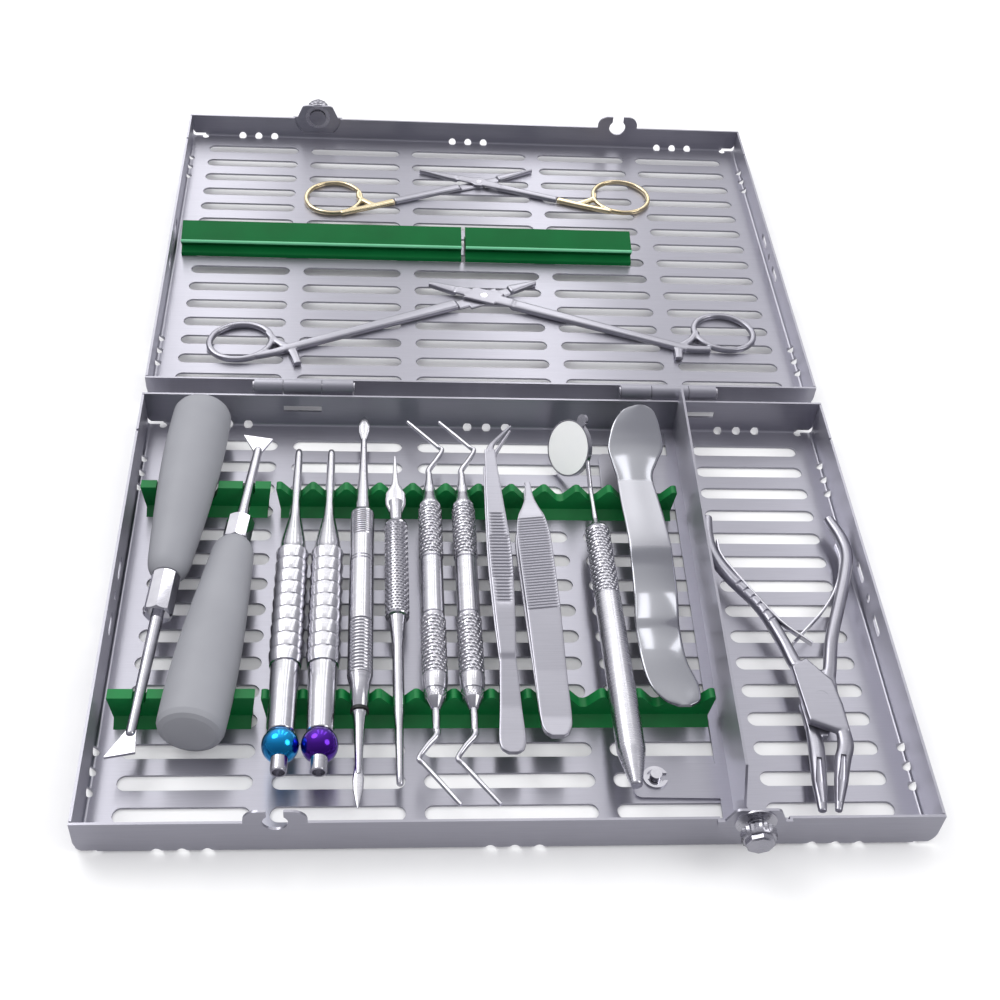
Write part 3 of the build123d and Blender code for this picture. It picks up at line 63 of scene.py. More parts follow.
# %% [markdown]
# ## The camera
# The cassette is seen from its front, a little from the left, looking down at 46 degrees.
# Yaw, pitch and roll are applied in that order to a camera that first looks along +Y, and the
# focal length is written in pixels of a 1000 pixel square, so it becomes a lens on a 36 mm sensor.

# %% Camera
CAMERA_PLACE = Vector((-0.0470, -0.4526, 0.4198))
CAMERA_YAW = math.radians(-7.12)
CAMERA_PITCH = math.radians(-45.74)
CAMERA_ROLL = math.radians(-5.65)
FOCAL_PIXELS = 1464.8
IMAGE_PIXELS = 1000
SENSOR = 36.0

turn = Matrix.Rotation(CAMERA_YAW, 3, "Z") @ Matrix.Rotation(CAMERA_PITCH, 3, "X")
turn = turn @ Matrix.Rotation(CAMERA_ROLL, 3, "Y")
look_along_y = Matrix(((1, 0, 0), (0, 0, -1), (0, 1, 0)))
camera = bpy.data.objects.new("camera", bpy.data.cameras.new("camera"))
camera.data.sensor_width = SENSOR
camera.data.lens = FOCAL_PIXELS / IMAGE_PIXELS * SENSOR
camera.matrix_world = Matrix.Translation(CAMERA_PLACE) @ (turn @ look_along_y).to_4x4()
bpy.context.scene.collection.objects.link(camera)
bpy.context.scene.camera = camera
bpy.context.scene.view_settings.view_transform = "Standard"
print("lens:", round(camera.data.lens, 1), "mm")

# %% [markdown]
# ## Colours and nodes
# Colours are written as sRGB hex, the way a colour picker shows them, and Blender works in linear light,
# so one function converts them. A second function adds any shader or geometry node: its settings are
# keyword arguments, and its inputs are a dictionary whose values are numbers or other nodes' outputs.

# %% Colour and node helpers
def colour(hex_code):
    """Linear RGBA of an sRGB hex colour."""
    parts = [int(hex_code[i:i + 2], 16) / 255 for i in (0, 2, 4)]
    return [p / 12.92 if p <= 0.04045 else ((p + 0.055) / 1.055) ** 2.4 for p in parts] + [1.0]


def add(tree, kind, inputs=None, **settings):
    """Add a node with its settings, its values and its links."""
    node = tree.nodes.new(kind)
    for name, value in settings.items():
        setattr(node, name, value)
    for socket, value in (inputs or {}).items():
        if isinstance(value, bpy.types.NodeSocket):
            tree.links.new(value, node.inputs[socket])
        else:
            node.inputs[socket].default_value = value
    return node


print("steel grey in linear light:", [round(c, 3) for c in colour("C9C8D2")[:3]])

# %% [markdown]
# ## Floor and light
# The cassette lies on a plain white table, six metres square. Its own colour is pale and takes the soft
# shadow, and seen from above it runs over into the white of the world. In a low view its far edge shows.
# Steel shows what stands around it. Here reflections see other things than the camera does: a sky that
# is bright behind and grey towards the front, and a darker table. That keeps the steel from washing out,
# but it is a trick of this scene's light and no property of the steel, which would look different in an
# evenly white room. Two large soft lamps stand where a product table has its light boxes. Three narrow
# ones behind the table are what brushed sheet spreads into bright upright bands. They are there for the
# bands alone and cast no shadow.

# %% Floor
FLOOR_SIZE = 6.0
FLOOR_GAP = 0.0002
floor_mesh = bpy.data.meshes.new("floor")
corner = FLOOR_SIZE / 2
floor_corners = [(-corner, -corner, 0), (corner, -corner, 0), (corner, corner, 0), (-corner, corner, 0)]
floor_mesh.from_pydata([(x, y, -FLOOR_GAP) for x, y, z in floor_corners], [], [(0, 1, 2, 3)])
floor = bpy.data.objects.new("floor", floor_mesh)
bpy.context.scene.collection.objects.link(floor)

white_table = bpy.data.materials.new("white laminate table")
white_table.use_nodes = True
tree = white_table.node_tree
shader = tree.nodes["Principled BSDF"]
shader.inputs["Roughness"].default_value = 0.6
place = add(tree, "ShaderNodeTexCoord").outputs["Object"]
grain = add(tree, "ShaderNodeTexNoise", {"Vector": place, "Scale": 60.0, "Detail": 2.0})
tone = add(
    tree, "ShaderNodeMix", {0: grain.outputs["Fac"], 6: colour("F4F4F6"), 7: colour("FAFAFB")},
    data_type="RGBA",
)
# Reflections see a darker table than the camera does.
seen_in_steel = add(tree, "ShaderNodeLightPath").outputs["Is Glossy Ray"]
dim = add(
    tree, "ShaderNodeMix", {0: seen_in_steel, 6: tone.outputs[2], 7: colour("C8C8CC")}, data_type="RGBA",
)
tree.links.new(dim.outputs[2], shader.inputs["Base Color"])
floor_mesh.materials.append(white_table)

# %% World and lamps
world = bpy.data.worlds.new("white studio")
world.use_nodes = True
bpy.context.scene.world = world
tree = world.node_tree
back = tree.nodes["Background"]
ray = add(tree, "ShaderNodeLightPath").outputs
direction = add(tree, "ShaderNodeTexCoord").outputs["Generated"]
SKY_AXIS = Vector((-0.15, 0.75, 0.65)).normalized()
towards = add(
    tree, "ShaderNodeVectorMath", {0: direction, 1: SKY_AXIS}, operation="DOT_PRODUCT",
).outputs["Value"]
share = add(tree, "ShaderNodeMapRange", {"Value": towards, "From Min": -1.0, "From Max": 1.0}).outputs[0]
SKY = ((0.3, "6E6E75"), (0.68, "8F8F95"), (0.88, "C2C2C7"), (0.97, "FBFBFC"))
sky = add(tree, "ShaderNodeValToRGB", {0: share})
while len(sky.color_ramp.elements) < len(SKY):
    sky.color_ramp.elements.new(0.5)
for stop, (place_up, shade) in zip(sky.color_ramp.elements, SKY):
    stop.position = place_up
    stop.color = colour(shade)
plain = add(
    tree, "ShaderNodeMath", {0: ray["Is Camera Ray"], 1: ray["Is Diffuse Ray"]}, operation="MAXIMUM",
).outputs[0]
seen = add(tree, "ShaderNodeMix", {0: plain, 6: sky.outputs["Color"], 7: colour("FFFFFF")}, data_type="RGBA")
tree.links.new(seen.outputs[2], back.inputs["Color"])
direct = add(tree, "ShaderNodeMath", {0: ray["Is Camera Ray"], 1: ray["Is Glossy Ray"]}, operation="MAXIMUM")
direct = add(
    tree, "ShaderNodeMath", {0: direct.outputs[0], 1: ray["Is Transmission Ray"]}, operation="MAXIMUM",
)
# Light on the pieces, and the brighter strength that the camera, reflections and glass see.
WORLD_LIGHT = 1.0
SKY_SHOWN = 1.25
strength = add(tree, "ShaderNodeMix", {0: direct.outputs[0], 2: WORLD_LIGHT, 3: SKY_SHOWN}, data_type="FLOAT")
tree.links.new(strength.outputs[0], back.inputs["Strength"])


def soft_lamp(name, place, aim, size, watts):
    """A round light box turned towards a point."""
    lamp = bpy.data.lights.new(name, "AREA")
    lamp.shape = "DISK"
    lamp.size = size
    lamp.energy = watts
    holder = bpy.data.objects.new(name, lamp)
    holder.location = place
    holder.rotation_euler = (Vector(aim) - Vector(place)).to_track_quat("-Z", "Y").to_euler()
    bpy.context.scene.collection.objects.link(holder)
    return holder


soft_lamp("key_box", (-0.7, 0.5, 1.1), (0, 0, 0), 0.8, 5.0)
soft_lamp("fill_box", (0.9, -0.3, 0.9), (0, -0.05, 0), 0.7, 3.0)
for name, across in (("rear_strip_left", -0.28), ("rear_strip_middle", 0.2), ("rear_strip_right", 0.75)):
    strip_light = soft_lamp(name, (across, 1.3, 1.0), (across * 0.5, 0.0, 0), 0.16, 1.0)
    strip_light.data.shape = "RECTANGLE"
    strip_light.data.size_y = 1.1
    strip_light.data.use_shadow = False

# %% [markdown]
# ## Finishes
# Almost every metal here is steel, and what tells the pieces apart is how each was finished: brushed,
# turned or polished. One function starts a metal and returns the sockets that the finishes share.

# %% Starting a material
def begin(name, base, metallic, roughness):
    """A new material with its shader and Object coordinates."""
    material = bpy.data.materials.new(name)
    material.use_nodes = True
    tree = material.node_tree
    shader = tree.nodes["Principled BSDF"]
    shader.inputs["Base Color"].default_value = colour(base)
    shader.inputs["Metallic"].default_value = metallic
    shader.inputs["Roughness"].default_value = roughness
    return material, tree, shader, add(tree, "ShaderNodeTexCoord").outputs["Object"]


def vary_colour(tree, shader, factor, dark, light):
    mix = add(tree, "ShaderNodeMix", {0: factor, 6: colour(dark), 7: colour(light)}, data_type="RGBA")
    tree.links.new(mix.outputs[2], shader.inputs["Base Color"])


def vary_roughness(tree, shader, factor, low, high):
    spread = add(tree, "ShaderNodeMapRange", {"Value": factor, "To Min": low, "To Max": high})
    tree.links.new(spread.outputs[0], shader.inputs["Roughness"])


def raise_surface(tree, shader, height, depth):
    """Bump whose height is in metres."""
    bump = add(tree, "ShaderNodeBump", {"Height": height, "Strength": 1.0, "Distance": depth})
    tree.links.new(bump.outputs["Normal"], shader.inputs["Normal"])


# %% [markdown]
# ### Brushed stainless sheet
# The trays and the divider are pressed from stainless sheet whose belt finish runs along X. Each line
# is a tiny groove, so a reflection stays sharp along the line and is smeared across it: what stands over
# the floor shows in it as upright bands. The shader's tangent points across the lines, which on any
# face is the face's normal crossed with X. The lines are about 0.15 mm apart, drawn at 0.3 mm so that
# they show, and the press leaves slow changes in how sharply the sheet reflects.

# %% Brushed sheet
def brush(tree, shader, along, amount):
    """Point the smear of reflections across brush lines that run along a direction."""
    facing = add(tree, "ShaderNodeNewGeometry").outputs["Normal"]
    line = add(tree, "ShaderNodeCombineXYZ", {0: along[0], 1: along[1], 2: along[2]}).outputs[0]
    across = add(tree, "ShaderNodeVectorMath", {0: facing, 1: line}, operation="CROSS_PRODUCT").outputs[0]
    across = add(tree, "ShaderNodeVectorMath", {0: across}, operation="NORMALIZE").outputs[0]
    tree.links.new(across, shader.inputs["Tangent"])
    shader.inputs["Anisotropic"].default_value = amount


def brushed_sheet(name, dark, light, low, high, smear=0.93):
    material, tree, shader, place = begin(name, light, 1.0, low)
    BELT_LINE, PRESS_CLOUD = 0.3 * MM, 45 * MM
    stretched = add(tree, "ShaderNodeMapping", {"Vector": place, "Scale": (0.02, 1.0, 1.0)}).outputs[0]
    lines = add(tree, "ShaderNodeTexNoise", {"Vector": stretched, "Scale": 1 / BELT_LINE, "Detail": 3.0})
    clouds = add(tree, "ShaderNodeTexNoise", {"Vector": place, "Scale": 1 / PRESS_CLOUD, "Detail": 3.0})
    blend = add(
        tree, "ShaderNodeMix", {0: 0.5, 2: lines.outputs["Fac"], 3: clouds.outputs["Fac"]}, data_type="FLOAT",
    )
    vary_colour(tree, shader, blend.outputs[0], dark, light)
    vary_roughness(tree, shader, clouds.outputs["Fac"], low, high)
    raise_surface(tree, shader, lines.outputs["Fac"], 0.004 * MM)
    brush(tree, shader, (1.0, 0.03, 0.0), smear)
    return material


tray_steel = brushed_sheet("stainless sheet, belt brushed", "ACABB5", "CDCCD5", 0.30, 0.38)
divider_steel = brushed_sheet("stainless sheet, folded and brushed", "A5A4AE", "C6C5CE", 0.28, 0.36)

# %% [markdown]
# ### Moulded silicone
# The rails and bars are green silicone: a matt rubber whose tone changes a little in soft clouds, with the
# faint pebble of a blasted mould.

# %% Silicone
def silicone(name, dark, light):
    material, tree, shader, place = begin(name, light, 0.0, 0.46)
    MOULD_GRAIN, MOULD_CLOUD = 0.5 * MM, 18 * MM
    pebble = add(tree, "ShaderNodeTexNoise", {"Vector": place, "Scale": 1 / MOULD_GRAIN, "Detail": 2.0})
    clouds = add(tree, "ShaderNodeTexNoise", {"Vector": place, "Scale": 1 / MOULD_CLOUD, "Detail": 3.0})
    vary_colour(tree, shader, clouds.outputs["Fac"], dark, light)
    vary_roughness(tree, shader, clouds.outputs["Fac"], 0.40, 0.55)
    raise_surface(tree, shader, pebble.outputs["Fac"], 0.02 * MM)
    shader.inputs["Specular IOR Level"].default_value = 0.35
    return material


rail_silicone = silicone("green silicone, moulded rails", "005A2A", "00843F")
bar_silicone = silicone("green silicone, extruded bars", "004F24", "006632")
bar_silicone.node_tree.nodes["Principled BSDF"].inputs["Specular IOR Level"].default_value = 0.15
# A paler green for the bars' front ledge: a painted highlight where light catches the edge.
ledge_painted_highlight = silicone("green silicone, ledge with painted highlight", "5DB587", "80CDA2")

# %% [markdown]
# ### Turned, satin and polished instrument steel
# Handles are turned on a lathe, which leaves fine rings round the Y axis. Working ends are ground and
# polished, so they mirror the table with only hairline scratches. Flat arms are satin.

# %% Instrument steels
HAIRLINE = 0.6 * MM


def turned_steel(name, dark, light, low, high, ring=0.35 * MM):
    material, tree, shader, place = begin(name, light, 1.0, low)
    rings = add(tree, "ShaderNodeMapping", {"Vector": place, "Scale": (0.03, 1.0, 0.03)}).outputs[0]
    lathe = add(tree, "ShaderNodeTexNoise", {"Vector": rings, "Scale": 1 / ring, "Detail": 2.0})
    clouds = add(tree, "ShaderNodeTexNoise", {"Vector": place, "Scale": 1 / (9 * MM), "Detail": 2.0})
    blend = add(
        tree, "ShaderNodeMix", {0: 0.4, 2: lathe.outputs["Fac"], 3: clouds.outputs["Fac"]}, data_type="FLOAT",
    )
    vary_colour(tree, shader, blend.outputs[0], dark, light)
    vary_roughness(tree, shader, blend.outputs[0], low, high)
    raise_surface(tree, shader, lathe.outputs["Fac"], 0.005 * MM)
    return material


def polished_steel(name, dark, light, low, high):
    material, tree, shader, place = begin(name, light, 1.0, low)
    scratches = add(
        tree, "ShaderNodeTexNoise",
        {"Vector": place, "Scale": 1 / HAIRLINE, "Detail": 5.0, "Distortion": 1.5},
    )
    clouds = add(tree, "ShaderNodeTexNoise", {"Vector": place, "Scale": 1 / (6 * MM), "Detail": 2.0})
    vary_colour(tree, shader, clouds.outputs["Fac"], dark, light)
    vary_roughness(tree, shader, scratches.outputs["Fac"], low, high)
    raise_surface(tree, shader, scratches.outputs["Fac"], 0.0008 * MM)
    return material


handle_steel = turned_steel("surgical steel, turned handle", "B6B5BC", "E0DFE4", 0.14, 0.26)
fine_steel = turned_steel("surgical steel, satin turned", "B6B5BD", "E2E1E6", 0.2, 0.34)
arm_steel = brushed_sheet("surgical steel, satin arms", "96959E", "BBBAC2", 0.24, 0.34, smear=0.4)
tip_steel = polished_steel("surgical steel, polished tips", "B9B8C0", "E2E1E7", 0.06, 0.16)
ferrule_steel = polished_steel("chromed ferrule, mirror polished", "CFCED6", "F0EFF4", 0.03, 0.08)
button_steel = turned_steel("stainless push-button, turned", "9A99A2", "C8C7CE", 0.2, 0.34)
spring_steel = polished_steel("drawn spring wire", "A5A5AE", "D0D0D8", 0.12, 0.2)


def part_satin_painted_reflection(name, dark, light, field, polish, satin):
    """Polished steel with a satin field between two places along Y, in millimetres. The field is also painted
    lighter and the polished rest darker, a painted reflection.
    """
    material, tree, shader, place = begin(name, light, 1.0, polish)
    along = add(tree, "ShaderNodeSeparateXYZ", {0: place}).outputs["Y"]
    rear, front = field
    edge = 1.5 * MM
    after = add(
        tree, "ShaderNodeMapRange", {"Value": along, "From Min": rear * MM + edge, "From Max": rear * MM},
    ).outputs[0]
    before = add(
        tree, "ShaderNodeMapRange", {"Value": along, "From Min": front * MM - edge, "From Max": front * MM},
    ).outputs[0]
    inside = add(tree, "ShaderNodeMath", {0: after, 1: before}, operation="MULTIPLY").outputs[0]
    scratches = add(tree, "ShaderNodeTexNoise", {"Vector": place, "Scale": 1 / HAIRLINE, "Detail": 4.0})
    satin_and_painted_reflection = add(
        tree, "ShaderNodeMix", {0: 0.8, 2: scratches.outputs["Fac"], 3: inside}, data_type="FLOAT",
    ).outputs[0]
    # Painted reflection: the satin field is painted lighter and the polished rest darker.
    vary_colour(tree, shader, satin_and_painted_reflection, dark, light)
    vary_roughness(tree, shader, satin_and_painted_reflection, polish, satin)
    raise_surface(tree, shader, scratches.outputs["Fac"], 0.0006 * MM)
    return material


retractor_steel = part_satin_painted_reflection("surgical steel, polished plate", "9B9CA2", "B6B6BC", (-50.0, -83.0), 0.1, 0.34)

# %% [markdown]
# ### Grips, balls, rings and the mirror
# The elevators' handles are a grey moulded polymer with a dry feel. The balls are anodised aluminium,
# where the dye sits in a clear oxide and the metal shines through. The scissors' rings are gold plated.
# The mirror is painted near white, rough and barely metallic, a painted reflection of the white room, so it
# shows the sky only faintly.

# %% Other finishes
def moulded_grip(name, dark, light):
    material, tree, shader, place = begin(name, light, 0.0, 0.5)
    speckle = add(tree, "ShaderNodeTexNoise", {"Vector": place, "Scale": 1 / (0.35 * MM), "Detail": 2.0})
    clouds = add(tree, "ShaderNodeTexNoise", {"Vector": place, "Scale": 1 / (20 * MM), "Detail": 2.0})
    vary_colour(tree, shader, clouds.outputs["Fac"], dark, light)
    vary_roughness(tree, shader, speckle.outputs["Fac"], 0.42, 0.6)
    raise_surface(tree, shader, speckle.outputs["Fac"], 0.015 * MM)
    return material


def anodised(name, dark, light):
    material, tree, shader, place = begin(name, light, 1.0, 0.14)
    clouds = add(tree, "ShaderNodeTexNoise", {"Vector": place, "Scale": 1 / (5 * MM), "Detail": 2.0})
    grain = add(tree, "ShaderNodeTexNoise", {"Vector": place, "Scale": 1 / (0.3 * MM), "Detail": 2.0})
    vary_colour(tree, shader, clouds.outputs["Fac"], dark, light)
    vary_roughness(tree, shader, grain.outputs["Fac"], 0.10, 0.2)
    shader.inputs["Coat Weight"].default_value = 0.4
    shader.inputs["Coat Roughness"].default_value = 0.05
    return material


grip_grey = moulded_grip("grey moulded grip", "8B8C93", "9A9BA2")
ball_blue = anodised("anodised aluminium, blue", "008CD8", "0EACEC")
ball_violet = anodised("anodised aluminium, violet", "470C96", "6019B6")
ring_black = moulded_grip("black nitrile ring", "111112", "1D1D1F")
ring_gold = polished_steel("pale gold plate, polished", "CDB98E", "F0E4C6", 0.06, 0.16)
# Painted reflection: the mirror is drawn near white instead of mirroring the white room.
mirror_painted_white = polished_steel("front-surface mirror, painted white reflection", "FAFBFD", "FFFFFF", 0.35, 0.5)
mirror_painted_white.node_tree.nodes["Principled BSDF"].inputs["Metallic"].default_value = 0.1
print("materials:", len(bpy.data.materials))

# %% [markdown]
# ### Which finish goes where
# The record's slots already group the nodes, so one table turns a slot into a finish.

# %% Dress the CAD nodes
FINISHES = {
    "tray_steel": tray_steel, "hinge_steel": fine_steel, "button_steel": button_steel,
    "bushing_steel": fine_steel, "spring_steel": spring_steel, "rail_silicone": rail_silicone,
    "bar_silicone": bar_silicone, "divider_steel": divider_steel, "fastener_steel": tip_steel,
    "grip_grey": grip_grey, "ferrule_steel": ferrule_steel, "blade_steel": tip_steel,
    "instrument_steel": handle_steel, "ball_blue": ball_blue, "ball_violet": ball_violet,
    "ring_black": ring_black, "retractor_steel": retractor_steel, "mirror_glass": mirror_painted_white,
    "ring_gold": ring_gold,
}
for entry in frame["record"]["subparts"]:
    slots = NODES[entry["node"]].data.materials
    slots.clear()
    slots.append(FINISHES[entry["material_slot"]])
NODES["rongeur_rivet"].data.materials[0] = arm_steel

# %% [markdown]
# ## Helpers for turned, drawn and forged pieces
# Most instruments are made in one of three ways. A handle is turned on a lathe, so its mesh is a row of
# rings on an axis. A shank or hook is drawn wire that was bent, so its mesh is an oval swept along a
# path. A forged half with a finger ring is several such sweeps welded into one skin, and a voxel remesh
# is the tool that welds them the way a forging die does, with a soft fillet at every joint.

# %% Axis of a CAD node
def axis_of(node):
    """Two points in millimetres on the middle line of a long piece that lies along Y."""
    points = np.array([v.co for v in NODES[node].data.vertices]) / MM
    ends = []
    for edge, sign in ((points[:, 1].min(), 1), (points[:, 1].max(), -1)):
        near = points[sign * (points[:, 1] - edge) < 4.0]
        ends.append((near.min(0) + near.max(0)) / 2)
    return Vector(ends[0]), Vector(ends[1])


def on_axis(axis, y):
    """The axis's point at a Y in millimetres."""
    share = (y - axis[0].y) / (axis[1].y - axis[0].y)
    return axis[0].lerp(axis[1], share)


print("left curette's axis:", [tuple(round(c, 1) for c in p) for p in axis_of("curette_left_handle")])


# %% Making a piece
def piece(name, vertices, faces, material, flat_angle=40):
    """A mesh object from millimetres, smooth-shaded up to an angle, with its normals turned outwards."""
    mesh = bpy.data.meshes.new(name)
    mesh.from_pydata([Vector(v) * MM for v in vertices], [], faces)
    tidy = bmesh.new()
    tidy.from_mesh(mesh)
    bmesh.ops.remove_doubles(tidy, verts=tidy.verts, dist=0.001 * MM)
    bmesh.ops.recalc_face_normals(tidy, faces=tidy.faces)
    tidy.to_mesh(mesh)
    tidy.free()
    mesh.materials.append(material)
    mesh.shade_smooth()
    mesh.set_sharp_from_angle(angle=math.radians(flat_angle))
    made = bpy.data.objects.new(name, mesh)
    bpy.context.scene.collection.objects.link(made)
    return made


def rings_to_faces(rows, columns, closed=False):
    """Quads between neighbouring rings of vertices, and a cap at each end of an open row."""
    faces = []
    for row in range(rows if closed else rows - 1):
        after = (row + 1) % rows
        for column in range(columns):
            beside = (column + 1) % columns
            faces.append((
                row * columns + column, row * columns + beside,
                after * columns + beside, after * columns + column,
            ))
    if not closed:
        faces.append(tuple(range(columns)))
        faces.append(tuple(range((rows - 1) * columns, rows * columns)))
    return faces


# %% Lathe
def lathe(axis, stations, sides=64, flat=None):
    """A turned piece from (Y, radius) stations. A flat cuts its top at a height above the axis."""
    vertices = []
    for y, radius in stations:
        middle = on_axis(axis, y)
        for side in range(sides):
            angle = 2 * math.pi * side / sides
            up = radius * math.sin(angle)
            if flat:
                up = min(up, flat)
            vertices.append((middle.x + radius * math.cos(angle), y, middle.z + up))
    return vertices, rings_to_faces(len(stations), sides)


# %% Sweep
def smooth_path(points, step):
    """A Catmull-Rom line through the points, about one point per step."""
    points = [Vector(p) for p in points]
    padded = [2 * points[0] - points[1]] + points + [2 * points[-1] - points[-2]]
    line = []
    for a, b, c, d in zip(padded, padded[1:], padded[2:], padded[3:]):
        count = max(2, round((c - b).length / step))
        for k in range(count):
            t = k / count
            bend = (2 * a - 5 * b + 4 * c - d) * t * t + (3 * b - a - 3 * c + d) * t ** 3
            line.append(b + 0.5 * ((c - a) * t + bend))
    return line + [points[-1]]


def lengths_along(points):
    steps = [0.0]
    for a, b in zip(points, points[1:]):
        steps.append(steps[-1] + (Vector(b) - Vector(a)).length)
    return np.array(steps) / steps[-1]


def sweep(points, widths, heights, step=1.0, sides=20, power=2.0):
    """An oval bar along the points. Power 2 gives an ellipse and a higher one a squarer section."""
    line = smooth_path(points, step)
    marks, shares = lengths_along(points), lengths_along(line)
    return skin(line, np.interp(shares, marks, widths), np.interp(shares, marks, heights), sides, power)


def skin(line, widths, heights, sides, power, closed=False):
    """Rings of vertices round a line, each upright to it and wide across it."""
    vertices = []
    count = len(line)
    for index, point in enumerate(line):
        before = line[index - 1 if closed or index else 0]
        after = line[(index + 1) % count if closed else min(index + 1, count - 1)]
        along = (after - before).normalized()
        across = along.cross(Vector((0, 0, 1))).normalized()
        up = across.cross(along)
        for side in range(sides):
            angle = 2 * math.pi * side / sides
            c, s = math.cos(angle), math.sin(angle)
            c, s = math.copysign(abs(c) ** (2 / power), c), math.copysign(abs(s) ** (2 / power), s)
            vertices.append(point + across * (c * widths[index] / 2) + up * (s * heights[index] / 2))
    return vertices, rings_to_faces(count, sides, closed)


def oval_ring(centre, length, width, angle, wire, height, power=2.4):
    """A closed finger ring from its outer half sizes, lying flat."""
    turn = Matrix.Rotation(math.radians(angle), 3, "Z")
    RING_POINTS = 96
    line = []
    for k in range(RING_POINTS):
        around = math.tau * k / RING_POINTS
        reach = Vector(((length - wire / 2) * math.cos(around), (width - wire / 2) * math.sin(around), 0))
        line.append(Vector(centre) + turn @ reach)
    return skin(line, [wire] * RING_POINTS, [height] * RING_POINTS, 20, power, closed=True)


# %% Weld
def merged(shapes):
    """One list of vertices and faces from several."""
    vertices, faces = [], []
    for more, quads in shapes:
        start = len(vertices)
        vertices += more
        faces += [tuple(start + i for i in quad) for quad in quads]
    return vertices, faces


def forged(name, shapes, material, voxel=0.28):
    """Weld overlapping shapes into one smooth skin."""
    made = piece(name, *merged(shapes), material)
    weld = made.modifiers.new("weld", "REMESH")
    weld.mode = "VOXEL"
    weld.voxel_size = voxel * MM
    weld.use_smooth_shade = True
    soften = made.modifiers.new("soften", "CORRECTIVE_SMOOTH")
    soften.use_only_smooth = True
    soften.iterations = 6
    soften.factor = 0.5
    return baked(made, material)


def baked(made, material):
    """Turn live modifiers into a plain mesh."""
    final = bpy.data.meshes.new_from_object(made.evaluated_get(bpy.context.evaluated_depsgraph_get()))
    made.modifiers.clear()
    made.data = final
    final.materials.clear()
    final.materials.append(material)
    return made


def install(made, body, *nodes):
    """Carry a finished piece on its body, in place of the CAD nodes."""
    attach(made, body)
    if nodes:
        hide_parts(*nodes)
    print(made.name, len(made.data.polygons), "faces on", body)
    return made


# %% [markdown]
# ## Knurls, ribs and beads with Geometry Nodes
# A grip repeats one small form hundreds of times round an axis. The tree below spreads points in rows
# between two points on the axis, turns every second row by half a step, and puts one form on each
# point, pointing outwards. Its inputs are sizes in metres, so the same tree makes a diamond knurl from
# pyramids and a beaded grip from low domes.

